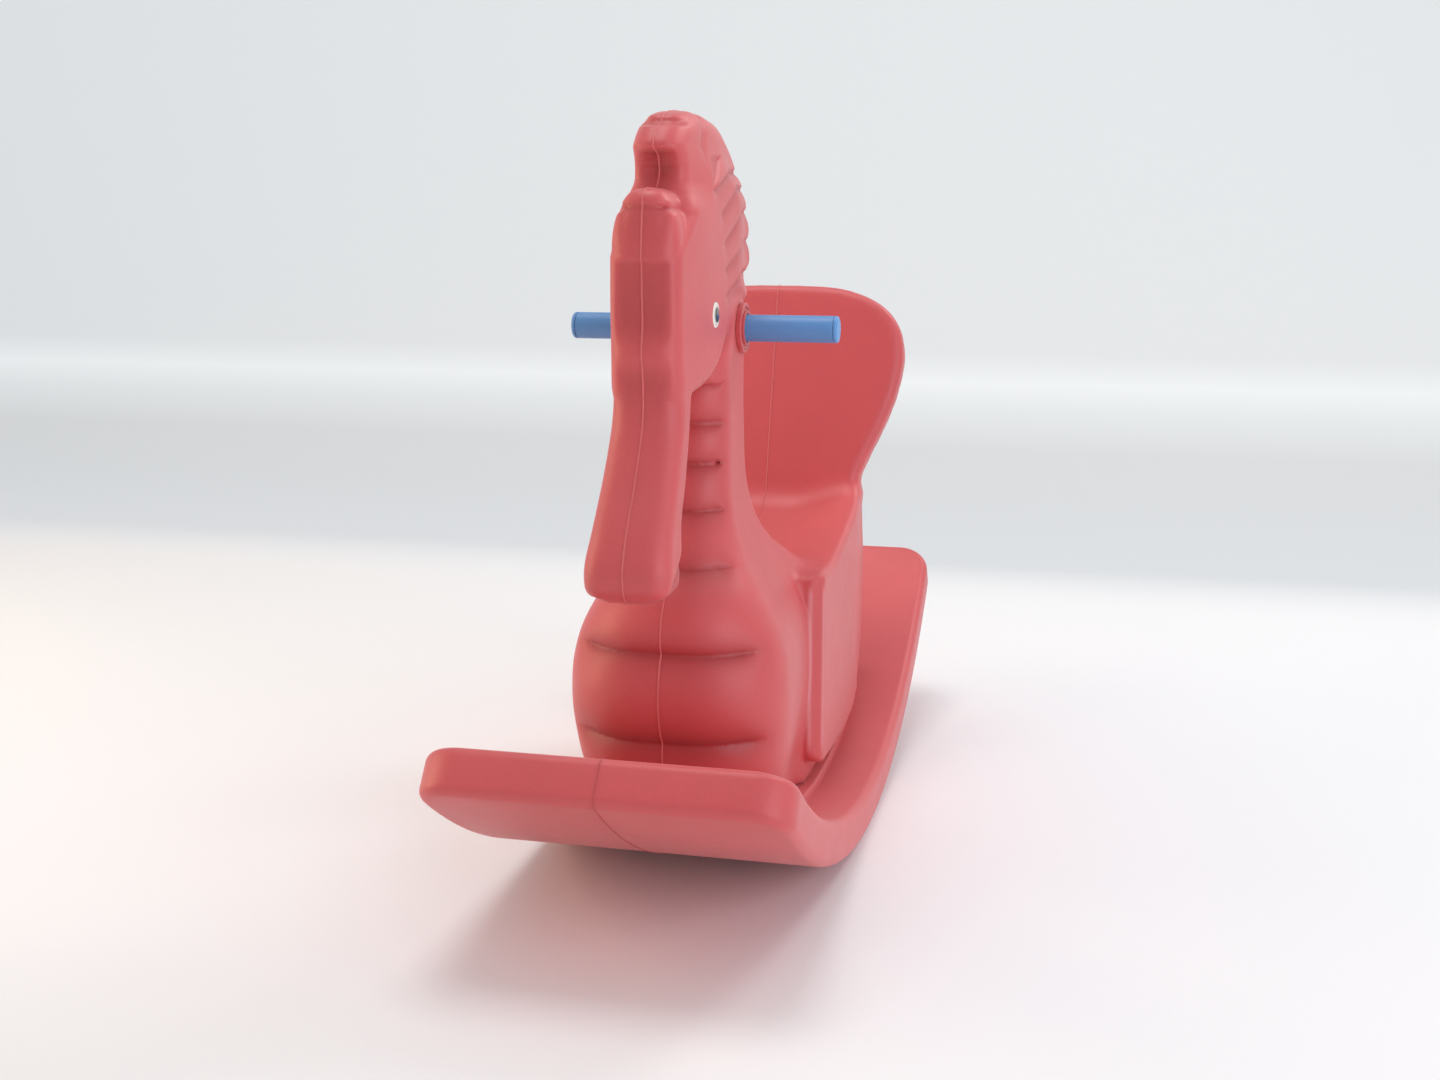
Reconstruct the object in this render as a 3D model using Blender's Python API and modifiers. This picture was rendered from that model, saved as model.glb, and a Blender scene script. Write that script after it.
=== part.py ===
"""Seahorse rocker for a toddler: a hollow moulded seahorse body screwed onto a hollow curved rocker,
with a handlebar that turns in two flanged bushes through the neck.

Units are metres. The front of the animal looks along -Y, +Z is up, and the origin lies on the floor
under the middle of the rocking arc. The body is mirrored about the plane x = 0."""

import math

import bmesh
import bpy
from mathutils import Matrix

# ---------------------------------------------------------------- driving dimensions
GAP = 0.0003  # rest clearance between touching pieces
OVERRUN = 0.010  # how far a cutter runs past what it cuts
UNDERCUT = 0.100  # how far the cutters that shape the body's foot reach down

ROCKER_RADIUS = 0.714  # underside arc
ROCKER_LENGTH = 0.900  # tip to tip
ROCKER_WIDTH = 0.300
ROCKER_THICKNESS = 0.040
ROCKER_WALL = 0.004
ROCKER_CORNER = 0.035  # plan corner radius
ROCKER_EDGE = 0.009  # rounding along the rim
ROCKER_STATIONS = 19  # odd, so that a flat facet lies on the floor
CORNER_SEGMENTS = 4
EDGE_SEGMENTS = 2

PLINTH_HEIGHT = 0.007
PLINTH_MARGIN = 0.010  # how far the plinth stands out round the foot of the body
PLINTH_EDGE = 0.003

BODY_HEIGHT = 0.674  # floor to crest
BODY_DEPTH = 0.520  # belly to rump, at the foot
BODY_WALL = 0.0045
BODY_FLOOR = 0.0055  # the wall that stands on the plinth
FOOT_HALF_WIDTH = 0.088
FLANK_HALF_WIDTH = 0.099
RUMP_CORNER = 0.045  # plan corner radius at the back of the foot
RUMP_FRONT_CORNER = 0.030
HIP_PROUD = 0.007  # the hip panel stands out this far from the flank
NECK_HALF_WIDTH = 0.035
SNOUT_HALF_WIDTH = 0.0315
HEAD_EDGE = 0.015
HEAD_TAPER = 0.80  # width at the nose over width at the neck
MANE_HALF_WIDTH = 0.022
MANE_EDGE = 0.011
HIP_EDGE = 0.008
BACKREST_WIDTH = 0.278
BACKREST_THICKNESS = 0.034
BACKREST_EDGE = 0.012
BACKREST_LEAN = math.radians(15.6)

HANDLE_DIAMETER = 0.024
HANDLE_LENGTH = 0.246
HANDLE_WALL = 0.0026
HANDLE_CAP_LIP = 0.004
HANDLE_CAP_SPIGOT = 0.016
HANDLE_CAP_ROUNDING = 0.003
GROOVE_WIDTH = 0.0068
GROOVE_DEPTH = 0.0018
GROOVE_SLOPE = 0.0010
RUNNING_CLEARANCE = 0.0008  # bar in its bushes, on the radius

BUSH_FLANGE_RADIUS = 0.0225
BUSH_FLANGE_HEIGHT = 0.0060
BUSH_RIM_WIDTH = 0.0030  # raised rim round the flange, and lip round the bar
BUSH_DISH_DEPTH = 0.0030  # hollow ring between rim and lip
BUSH_BEVEL = 0.0006
BUSH_SINK = 0.0010  # depth of the flange's seat below the side of the neck
BUSH_SLEEVE_WALL = 0.0028
BUSH_SLEEVE_LENGTH = 0.014

EYE_RADIUS = 0.0110
EYE_THICKNESS = 0.0030
EYE_SINK = 0.0015  # depth of the eye's seat below the side of the head
EYE_STEM_RADIUS = 0.0030
EYE_STEM_LENGTH = 0.0100
EYE_STEM_END_CLEARANCE = 0.0040
PUPIL_RADIUS = 0.0066
PUPIL_HEIGHT = 0.0012
PUPIL_SHIFT = 0.0018  # the pupil lies this far behind the middle of the eye

SCREW_RADIUS = 0.0030
SCREW_HEAD_RADIUS = 0.0055
SCREW_HEAD_HEIGHT = 0.0042
SCREW_REACH = 0.0120  # how far each screw runs into its insert
SCREW_BEVEL = 0.0008
SOCKET_RADIUS = 0.0025
SOCKET_DEPTH = 0.0025
WASHER_RADIUS = 0.0080
WASHER_THICKNESS = 0.0015
WASHER_CLEARANCE = 0.0010  # round the washer, inside its well
SCREW_ROWS = (-0.150, 0.180)  # along the arc, front to back
SCREW_HALF_PITCH = 0.048
WELL_WALL = 0.0035
INSERT_RADIUS = 0.0055
INSERT_LENGTH = 0.0150
INSERT_BAND = 0.0050  # knurled band at each end
INSERT_WAIST_DEPTH = 0.0008
BOSS_WALL = 0.0045

PIN_RADIUS = 0.0025
PIN_HEAD_RADIUS = 0.0045
PIN_HEAD_HEIGHT = 0.0028
PIN_BOSS_RADIUS = 0.0085
PIN_BOSS_PROUD = 0.0030
PIN_BOSS_CLEARANCE = 0.0010  # between the bar and the boss inside the neck
COVER_HEIGHT = 0.0020
COVER_BEVEL = 0.0006

VENT_RADIUS = 0.0060
VENT_FLANGE_RADIUS = 0.0095
VENT_FLANGE_HEIGHT = 0.0018
VENT_PLUG_LENGTH = 0.0090
VENT_BEVEL = 0.0005
VENT_PLACE = 0.250  # along the arc, behind the last screws

# ---------------------------------------------------------------- worked-out sizes
REFERENCE_HEIGHT = 0.674  # the body outlines below are drawn at this height
REFERENCE_DEPTH = 0.520  # and at this depth
ARC_HALF = math.asin(ROCKER_LENGTH / 2 / ROCKER_RADIUS)
STATION = 2 * ARC_HALF * ROCKER_RADIUS / ROCKER_STATIONS
ARC_CENTRE = ROCKER_RADIUS * math.cos(STATION / 2 / ROCKER_RADIUS)  # sets the middle facet on the floor
PLINTH_TOP = ROCKER_THICKNESS + PLINTH_HEIGHT
BODY_BASE = PLINTH_TOP + GAP  # heights above the underside, measured along the arc's radius
HANDLE_RADIUS = HANDLE_DIAMETER / 2
BUSH_BORE = HANDLE_RADIUS + RUNNING_CLEARANCE
BUSH_SLEEVE_RADIUS = BUSH_BORE + BUSH_SLEEVE_WALL
BUSH_SEAT = NECK_HALF_WIDTH - BUSH_SINK  # distance of both flange seats from the middle
WELL_RADIUS = WASHER_RADIUS + WASHER_CLEARANCE


def side(y, z):
    """A point of the side outline, drawn at the reference size, at the size asked for."""
    return y * BODY_DEPTH / REFERENCE_DEPTH, z * BODY_HEIGHT / REFERENCE_HEIGHT


HANDLE_Y, HANDLE_Z = side(-0.100, 0.489)
NECK_BACK = side(-0.068, 0.489)[0]
EYE_Y, EYE_Z = side(-0.200, 0.507)
BACKREST_BASE = 0.0896  # where the front of the leaning panel would meet the floor

HEAD_OUTLINE = [
    (-0.150, 0.668), (-0.188, 0.674), (-0.226, 0.672), (-0.248, 0.664), (-0.266, 0.648), (-0.266, 0.634),
    (-0.258, 0.620), (-0.280, 0.613), (-0.306, 0.595), (-0.303, 0.562), (-0.307, 0.500), (-0.300, 0.446),
    (-0.270, 0.440), (-0.225, 0.444), (-0.175, 0.462), (-0.130, 0.452), (-0.085, 0.462), (-0.069, 0.489),
    (-0.062, 0.530), (-0.060, 0.570), (-0.080, 0.610), (-0.112, 0.645),
]
MANE_OUTLINE = [
    (-0.190, 0.600), (-0.140, 0.668), (-0.080, 0.664), (-0.042, 0.640), (-0.008, 0.608), (0.010, 0.575),
    (0.016, 0.545), (-0.002, 0.516), (-0.050, 0.505), (-0.110, 0.530),
]
# height, front, back, half width, front radius, back radius
SNOUT_SECTIONS = [
    (0.520, -0.304, -0.235, 0.88, 0.020, 0.020),
    (0.460, -0.300, -0.240, 0.92, 0.021, 0.024),
    (0.430, -0.303, -0.250, 0.95, 0.022, 0.024),
    (0.385, -0.326, -0.268, 0.98, 0.022, 0.024),
    (0.341, -0.355, -0.293, 1.05, 0.022, 0.024),
    (0.320, -0.364, -0.300, 1.12, 0.022, 0.024),
    (0.303, -0.361, -0.304, 1.08, 0.021, 0.022),
    (0.291, -0.348, -0.310, 0.75, 0.014, 0.014),
]
# height, front, back, half width as a mix of neck (0) and flank (1), front radius, back radius
TRUNK_SECTIONS = [
    (0.520, -0.175, -0.066, -0.02, 0.028, 0.020),
    (0.460, -0.170, -0.066, -0.01, 0.028, 0.022),
    (0.400, -0.172, -0.062, 0.05, 0.030, 0.030),
    (0.340, -0.186, -0.056, 0.16, 0.036, 0.036),
    (0.300, -0.212, -0.034, 0.34, 0.048, 0.046),
    (0.272, -0.244, 0.000, 0.60, 0.062, 0.060),
    (0.250, -0.256, 0.060, 0.82, 0.074, 0.070),
    (0.225, -0.260, 0.080, 0.93, 0.082, 0.070),
    (0.174, -0.265, 0.100, 1.00, 0.088, 0.070),
    (0.120, -0.253, 0.100, 0.93, 0.082, 0.070),
    (0.080, -0.240, 0.100, 0.83, 0.074, 0.070),
    (0.000, -0.240, 0.100, 0.83, 0.074, 0.070),
]
# height, front, back, half width as a mix of foot (0) and flank (1)
RUMP_SECTIONS = [
    (0.246, -0.070, 0.215, 0.62),
    (0.234, -0.080, 0.235, 0.86),
    (0.200, -0.080, 0.258, 1.00),
    (0.120, -0.080, 0.272, 0.55),
    (0.080, -0.080, 0.270, 0.00),
    (0.000, -0.080, 0.262, 0.00),
]
HIP_OUTLINE = [
    (-0.058, 0.238), (-0.058, 0.105), (-0.050, 0.072), (0.080, 0.066), (0.180, 0.086), (0.238, 0.112),
    (0.248, 0.170), (0.243, 0.240), (0.222, 0.286), (0.180, 0.298), (0.140, 0.287), (0.070, 0.270),
    (0.010, 0.252), (-0.030, 0.245),
]
# across, up: right half of the backrest panel, from its top middle down to the seat
BACKREST_OUTLINE = [
    (0.000, 0.508), (0.400, 0.507), (0.640, 0.500), (0.840, 0.486), (0.950, 0.468), (0.998, 0.446),
    (1.000, 0.424), (0.950, 0.390), (0.860, 0.357), (0.765, 0.328), (0.706, 0.306), (0.700, 0.286),
    (0.700, 0.262), (0.690, 0.210),
]

# ---------------------------------------------------------------- scene, materials and helpers
for leftover in list(bpy.data.objects):
    bpy.data.objects.remove(leftover, do_unlink=True)
PARTS = bpy.data.collections.new("seahorse_rocker")
HELPERS = bpy.data.collections.new("cutters")
for collection in (PARTS, HELPERS):
    bpy.context.scene.collection.children.link(collection)


def material(name, colour, roughness, metallic=0.0):
    made = bpy.data.materials.new(name)
    made.use_nodes = True
    shader = made.node_tree.nodes["Principled BSDF"]
    shader.inputs["Base Color"].default_value = (*colour, 1.0)
    shader.inputs["Roughness"].default_value = roughness
    shader.inputs["Metallic"].default_value = metallic
    return made


RED_BODY = material("red_body_plastic", (0.70, 0.09, 0.09), 0.42)
RED_ROCKER = material("red_rocker_plastic", (0.70, 0.09, 0.09), 0.42)
RED_BUSH = material("red_bush_plastic", (0.66, 0.10, 0.11), 0.40)
BLUE_BAR = material("blue_bar_plastic", (0.07, 0.26, 0.62), 0.38)
WHITE_EYE = material("white_eye_plastic", (0.86, 0.85, 0.80), 0.25)
BLACK_PUPIL = material("black_pupil_plastic", (0.02, 0.02, 0.02), 0.20)
ZINC = material("zinc_plated_steel", (0.62, 0.63, 0.64), 0.30, 1.0)
BRASS = material("brass", (0.78, 0.60, 0.28), 0.35, 1.0)
GREY_PLUG = material("grey_plug_rubber", (0.10, 0.10, 0.11), 0.70)


def add_object(name, mesh, collection, finish=None):
    obj = bpy.data.objects.new(name, mesh)
    collection.objects.link(obj)
    if collection is HELPERS:
        obj.hide_render = True
        obj.display_type = "WIRE"
    if finish:
        mesh.materials.clear()
        mesh.materials.append(finish)
    return obj


def from_bmesh(name, bm, collection=None, finish=None):
    bmesh.ops.recalc_face_normals(bm, faces=bm.faces)
    mesh = bpy.data.meshes.new(name)
    bm.to_mesh(mesh)
    bm.free()
    return add_object(name, mesh, collection or HELPERS, finish)


def bake(obj):
    """Makes what the modifiers show the object's own mesh."""
    graph = bpy.context.evaluated_depsgraph_get()
    mesh = bpy.data.meshes.new_from_object(obj.evaluated_get(graph))
    obj.modifiers.clear()
    obj.data = mesh
    return obj


def combine(target, other, operation):
    """Boolean of two objects, kept in the target's own mesh."""
    cut = target.modifiers.new(operation.lower(), "BOOLEAN")
    cut.operation = operation
    cut.object = other
    cut.solver = "EXACT"
    return bake(target)


def smooth(obj, angle=35.0):
    obj.data.shade_smooth()
    obj.data.set_sharp_from_angle(angle=math.radians(angle))
    return obj


def on_arc(along, height, across=0.0):
    """Frame on the rocking arc: +Z points from the underside to the arc's centre."""
    angle = along / ROCKER_RADIUS
    centre = Matrix.Translation((across, 0, ARC_CENTRE))
    return centre @ Matrix.Rotation(angle, 4, "X") @ Matrix.Translation((0, 0, height - ROCKER_RADIUS))


ALONG_X = Matrix.Rotation(math.radians(90), 4, "Y")
ALONG_Y = Matrix.Rotation(math.radians(-90), 4, "X")
BORE_SEGMENTS = 32


def cylinder(name, radius, low, high, place, segments=20):
    """Closed cylinder from low to high on the local Z of a place, as a helper."""
    bm = bmesh.new()
    bmesh.ops.create_cone(
        bm, cap_ends=True, segments=segments, radius1=radius, radius2=radius, depth=high - low,
        matrix=place @ Matrix.Translation((0, 0, (low + high) / 2)),
    )
    return from_bmesh(name, bm)


def turned(name, profile, place, finish, steps=24, closed=False):
    """Solid of revolution about local Z. The profile runs down its outer side, top to bottom."""
    mesh = bpy.data.meshes.new(name)
    edges = [(i, i + 1) for i in range(len(profile) - 1)]
    if closed:
        edges.append((len(profile) - 1, 0))
    mesh.from_pydata([(radius, 0, height) for radius, height in profile], edges, [])
    obj = add_object(name, mesh, PARTS, finish)
    spin = obj.modifiers.new("turn", "SCREW")
    spin.steps = spin.render_steps = steps
    spin.use_merge_vertices = True
    spin.merge_threshold = 0.00005
    spin.use_smooth_shade = True
    obj.matrix_world = place
    return obj


# ---------------------------------------------------------------- rocker
def rolled_plate(name, half_width, front, back, low, high, corners, edge_low, edge_high):
    """Flat plate with rounded corners and rims, rolled up onto the rocking arc.
    front and back are lengths along the arc, low and high heights above the underside."""
    bm = bmesh.new()
    bmesh.ops.create_cube(bm, size=1.0)
    for v in bm.verts:
        v.co.x *= 2 * half_width
        v.co.y = front if v.co.y < 0 else back
        v.co.z = low if v.co.z < 0 else high
    for end, radius in ((front, corners[0]), (back, corners[1])):
        if radius:
            uprights = [
                e for e in bm.edges
                if abs(e.verts[0].co.z - e.verts[1].co.z) > (high - low) / 2
                and abs(e.verts[0].co.y - end) < 1e-6
            ]
            bmesh.ops.bevel(
                bm, geom=uprights, offset=radius, offset_type="OFFSET", segments=CORNER_SEGMENTS,
                profile=0.5, affect="EDGES",
            )
    for level, radius in ((low, edge_low), (high, edge_high)):
        if radius:
            rim = [
                e for e in bm.edges
                if all(abs(v.co.z - level) < 1e-6 for v in e.verts) and len(e.link_faces) == 2
                and abs(e.link_faces[0].normal.dot(e.link_faces[1].normal)) < 0.5
            ]
            bmesh.ops.bevel(
                bm, geom=rim, offset=radius, offset_type="OFFSET", segments=EDGE_SEGMENTS,
                profile=0.5, affect="EDGES",
            )
    count = int(max(abs(front), abs(back)) / STATION) + 1
    for k in range(-count, count):
        bmesh.ops.bisect_plane(
            bm, geom=bm.verts[:] + bm.edges[:] + bm.faces[:],
            plane_co=(0, (k + 0.5) * STATION, 0), plane_no=(0, 1, 0),
        )
    bmesh.ops.triangulate(bm, faces=bm.faces)
    for v in bm.verts:
        v.co = on_arc(v.co.y, v.co.z, v.co.x).to_translation()
    return from_bmesh(name, bm)


def screw_places():
    return [(row, across * SCREW_HALF_PITCH) for row in SCREW_ROWS for across in (-1, 1)]


def foot_plate(name, margin, low, high, edge=0.0):
    """The outline of the body's foot, grown by a margin, as a plate on the arc."""
    front, back = TRUNK_SECTIONS[-1][1], RUMP_SECTIONS[-1][2]
    stretch = BODY_DEPTH / REFERENCE_DEPTH
    return rolled_plate(
        name, FOOT_HALF_WIDTH + margin, front * stretch - margin, back * stretch + margin, low, high,
        (TRUNK_SECTIONS[-1][4] + margin, RUMP_CORNER + margin), 0.0, edge,
    )


def make_rocker():
    half_length = ARC_HALF * ROCKER_RADIUS
    rocker = rolled_plate(
        "rocker_base", ROCKER_WIDTH / 2, -half_length, half_length, 0.0, ROCKER_THICKNESS,
        (ROCKER_CORNER, ROCKER_CORNER), ROCKER_EDGE, ROCKER_EDGE,
    )
    plinth = foot_plate("plinth", PLINTH_MARGIN, ROCKER_THICKNESS - ROCKER_WALL / 2, PLINTH_TOP, PLINTH_EDGE)
    combine(rocker, plinth, "UNION")
    hollow = rolled_plate(
        "rocker_hollow", ROCKER_WIDTH / 2 - ROCKER_WALL, ROCKER_WALL - half_length, half_length - ROCKER_WALL,
        ROCKER_WALL, ROCKER_THICKNESS - ROCKER_WALL,
        (ROCKER_CORNER - ROCKER_WALL, ROCKER_CORNER - ROCKER_WALL),
        ROCKER_EDGE - ROCKER_WALL, ROCKER_EDGE - ROCKER_WALL,
    )
    for number, (row, across) in enumerate(screw_places(), 1):
        pillar = cylinder(
            f"well_pillar_{number}", WELL_RADIUS + WELL_WALL, -OVERRUN, ROCKER_THICKNESS + OVERRUN,
            on_arc(row, 0, across),
        )
        combine(hollow, pillar, "DIFFERENCE")
    boss_top = ROCKER_WALL + VENT_FLANGE_HEIGHT
    vent_boss = cylinder("vent_boss", VENT_RADIUS + WELL_WALL, -OVERRUN, boss_top, on_arc(VENT_PLACE, 0))
    combine(hollow, vent_boss, "DIFFERENCE")
    combine(rocker, hollow, "DIFFERENCE")
    for number, (row, across) in enumerate(screw_places(), 1):
        place = on_arc(row, 0, across)
        well = cylinder(f"well_{number}", WELL_RADIUS, -OVERRUN, ROCKER_THICKNESS - ROCKER_WALL, place)
        hole = cylinder(f"screw_hole_{number}", SCREW_RADIUS + GAP, 0.0, PLINTH_TOP + OVERRUN, place)
        combine(rocker, well, "DIFFERENCE")
        combine(rocker, hole, "DIFFERENCE")
    place = on_arc(VENT_PLACE, 0)
    recess = cylinder("vent_recess", VENT_FLANGE_RADIUS + GAP, -OVERRUN, VENT_FLANGE_HEIGHT + GAP, place)
    vent = cylinder("vent_hole", VENT_RADIUS + GAP, -OVERRUN, boss_top + OVERRUN, place)
    combine(rocker, recess, "DIFFERENCE")
    combine(rocker, vent, "DIFFERENCE")
    return publish(rocker, RED_ROCKER)


def publish(obj, finish):
    """Moves a finished solid from the helpers to the parts."""
    HELPERS.objects.unlink(obj)
    PARTS.objects.link(obj)
    obj.hide_render = False
    obj.display_type = "TEXTURED"
    obj.data.materials.clear()
    obj.data.materials.append(finish)
    return smooth(obj)


# ---------------------------------------------------------------- body
def rounded_section(front, back, half_width, front_radius, back_radius, steps=6):
    """Points of a rounded rectangle in plan, anticlockwise from the right of its front edge."""
    points = []
    front_radius = min(front_radius, half_width * 0.98, (back - front) * 0.5)
    back_radius = min(back_radius, half_width * 0.98, (back - front) * 0.48)
    corners = [
        (half_width - front_radius, front + front_radius, front_radius, -90),
        (half_width - back_radius, back - back_radius, back_radius, 0),
        (back_radius - half_width, back - back_radius, back_radius, 90),
        (front_radius - half_width, front + front_radius, front_radius, 180),
    ]
    for x, y, radius, start in corners:
        for k in range(steps + 1):
            turn = math.radians(start + 90 * k / steps)
            points.append((x + radius * math.cos(turn), y + radius * math.sin(turn)))
    return points


def loft(name, sections):
    """Skin over level sections, each (height, plan points), closed at both ends."""
    bm = bmesh.new()
    rings = []
    for height, points in sections:
        rings.append([bm.verts.new((x, y, height)) for x, y in points])
    for ring in rings:
        for k, v in enumerate(ring):
            bm.edges.new((v, ring[k - 1]))
    for lower, upper in zip(rings, rings[1:]):
        size = len(lower)
        for k in range(size):
            bm.faces.new((lower[k - 1], lower[k], upper[k], upper[k - 1]))
    bm.faces.new(rings[0])
    bm.faces.new(rings[-1])
    return from_bmesh(name, bm)


def slab(name, outline, half_width, edge, place, resolution, inset):
    """Flat outline as a smooth closed curve, thickened both ways, with rounded edges.
    inset draws all its faces in by a wall thickness."""
    curve = bpy.data.curves.new(name, "CURVE")
    curve.dimensions = "2D"
    curve.fill_mode = "BOTH"
    edge = max(edge - inset, 0.002)
    curve.extrude = half_width - inset - edge
    curve.bevel_depth = edge
    curve.bevel_resolution = 0 if inset else 1
    curve.offset = -edge - inset
    curve.resolution_u = resolution
    spline = curve.splines.new("BEZIER")
    spline.bezier_points.add(len(outline) - 1)
    for point, (across, up) in zip(spline.bezier_points, outline):
        point.co = (across, up, 0)
        point.handle_left_type = point.handle_right_type = "AUTO"
    spline.use_cyclic_u = True
    return curve_to_mesh(name, curve, place)


def side_slab(name, outline, half_width, edge, inset=0.0, resolution=3):
    """Slab of a side outline, standing lengthwise on the plane x = 0."""
    upright = Matrix(((0, 0, 1, 0), (1, 0, 0, 0), (0, 1, 0, 0), (0, 0, 0, 1)))
    return slab(name, [side(y, z) for y, z in outline], half_width, edge, upright, resolution, inset)


def curve_to_mesh(name, curve, place):
    """Closed mesh of a curve object set at a place."""
    shaper = add_object(name + "_curve", curve, HELPERS)
    shaper.matrix_world = place
    bpy.context.view_layer.update()
    graph = bpy.context.evaluated_depsgraph_get()
    mesh = bpy.data.meshes.new_from_object(shaper.evaluated_get(graph))
    mesh.transform(place)
    bpy.data.objects.remove(shaper, do_unlink=True)
    bm = bmesh.new()
    bm.from_mesh(mesh)
    bmesh.ops.remove_doubles(bm, verts=bm.verts, dist=0.00002)
    return from_bmesh(name, bm)


def head_taper(y):
    """Share of the neck's width that the head has at y: full behind the jaw, least at the nose."""
    nose = side(-0.307, 0)[0]
    jaw = side(-0.130, 0)[0]
    along = min(max((jaw - y) / (jaw - nose), 0.0), 1.0)
    return 1 - (1 - HEAD_TAPER) * along


def narrowed(form):
    for v in form.data.vertices:
        v.co.x *= head_taper(v.co.y)
    return form


def backrest_form(name, inset=0.0):
    """Heart-shaped panel, leaning back, from its right half and the mirror of it."""
    half = BACKREST_WIDTH / 2
    base_y = side(BACKREST_BASE, 0)[0]
    slope = BODY_HEIGHT / REFERENCE_HEIGHT / math.cos(BACKREST_LEAN)
    right = [(across * half, up * slope) for across, up in BACKREST_OUTLINE]
    outline = right + [(-x, z) for x, z in reversed(right) if x]
    stand = Matrix.Rotation(math.radians(90) - BACKREST_LEAN, 4, "X")
    middle = base_y + BACKREST_THICKNESS / 2 / math.cos(BACKREST_LEAN)
    place = Matrix.Translation((0, middle, 0)) @ stand
    return slab(name, outline, BACKREST_THICKNESS / 2, BACKREST_EDGE, place, 2, inset)


def tapered(name, sections, inset, steps):
    """Loft of sections (height, front, back, half width, front radius, back radius), drawn in by inset."""
    rings = []
    for number, (height, front, back, half_width, front_radius, back_radius) in enumerate(sections):
        drop = inset if number == 0 else -inset if number == len(sections) - 1 else 0
        front, level = side(front, height)
        back = side(back, 0)[0]
        rings.append((level - drop, rounded_section(
            front + inset, back - inset, half_width - inset, max(front_radius - inset, 0.004),
            max(back_radius - inset, 0.004), steps)))
    return loft(name, rings)


def outline_span(outline, height, margin):
    """Front and back of a side outline that hold all the way from height - margin to height + margin."""
    spans = []
    for level in (height - margin, height, height + margin):
        crossings = []
        for (y1, z1), (y2, z2) in zip(outline, outline[1:] + outline[:1]):
            if (z1 - level) * (z2 - level) <= 0 and z1 != z2:
                crossings.append(y1 + (y2 - y1) * (level - z1) / (z2 - z1))
        spans.append((min(crossings), max(crossings)))
    return max(front for front, _ in spans), min(back for _, back in spans)


def head_cavity(name, inset):
    """The head's hollow follows its outline in plain steps, and leaves the crest and mane their walls."""
    sections = []
    for height in (0.650, 0.630, 0.605, 0.575, 0.540, 0.505, 0.470):
        front, back = outline_span(HEAD_OUTLINE, height, 0.006)
        sections.append((height, front + 0.004, back - 0.004, NECK_HALF_WIDTH, HEAD_EDGE + 0.004, HEAD_EDGE))
    return tapered(name, sections, inset, 3)


def body_forms(tag, inset=0.0):
    """The overlapping closed forms that the body is joined from, each drawn in by inset."""
    steps = 3 if inset else 5
    mix = FLANK_HALF_WIDTH - NECK_HALF_WIDTH
    swell = FLANK_HALF_WIDTH - FOOT_HALF_WIDTH
    trunk = [(z, f, b, NECK_HALF_WIDTH + mix * share, rf, rb) for z, f, b, share, rf, rb in TRUNK_SECTIONS]
    rump = [(z, f, b, FOOT_HALF_WIDTH + swell * share, RUMP_FRONT_CORNER, RUMP_CORNER)
            for z, f, b, share in RUMP_SECTIONS]
    snout = [(z, f, b, SNOUT_HALF_WIDTH * share, rf, rb) for z, f, b, share, rf, rb in SNOUT_SECTIONS]
    forms = [
        tapered(f"trunk_{tag}", trunk, inset, steps),
        tapered(f"rump_{tag}", rump, inset, steps),
        side_slab(f"hip_{tag}", HIP_OUTLINE, FLANK_HALF_WIDTH + HIP_PROUD, HIP_EDGE, inset, 2),
        backrest_form(f"backrest_{tag}", inset),
        tapered(f"snout_{tag}", snout, inset, steps),
    ]
    if inset:
        forms.append(narrowed(head_cavity(f"head_{tag}", inset)))
    else:
        forms.append(narrowed(side_slab(f"head_{tag}", HEAD_OUTLINE, NECK_HALF_WIDTH, HEAD_EDGE)))
        forms.append(side_slab(f"mane_{tag}", MANE_OUTLINE, MANE_HALF_WIDTH, MANE_EDGE))
    return forms


def joined(forms):
    whole = forms[0]
    for form in forms[1:]:
        combine(whole, form, "UNION")
    return whole


def eye_place(sign):
    """Frame of an eye on its side of the head: +Z looks out square to the tapered side."""
    surface = NECK_HALF_WIDTH * head_taper(EYE_Y)
    step = 0.01
    lean = math.atan(NECK_HALF_WIDTH * (head_taper(EYE_Y + step) - head_taper(EYE_Y - step)) / (2 * step))
    outward = Matrix.Rotation(math.radians(90 * sign), 4, "Y")
    square = Matrix.Rotation(-sign * lean, 4, "Z")
    return Matrix.Translation((sign * (surface - EYE_SINK), EYE_Y, EYE_Z)) @ square @ outward


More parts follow.
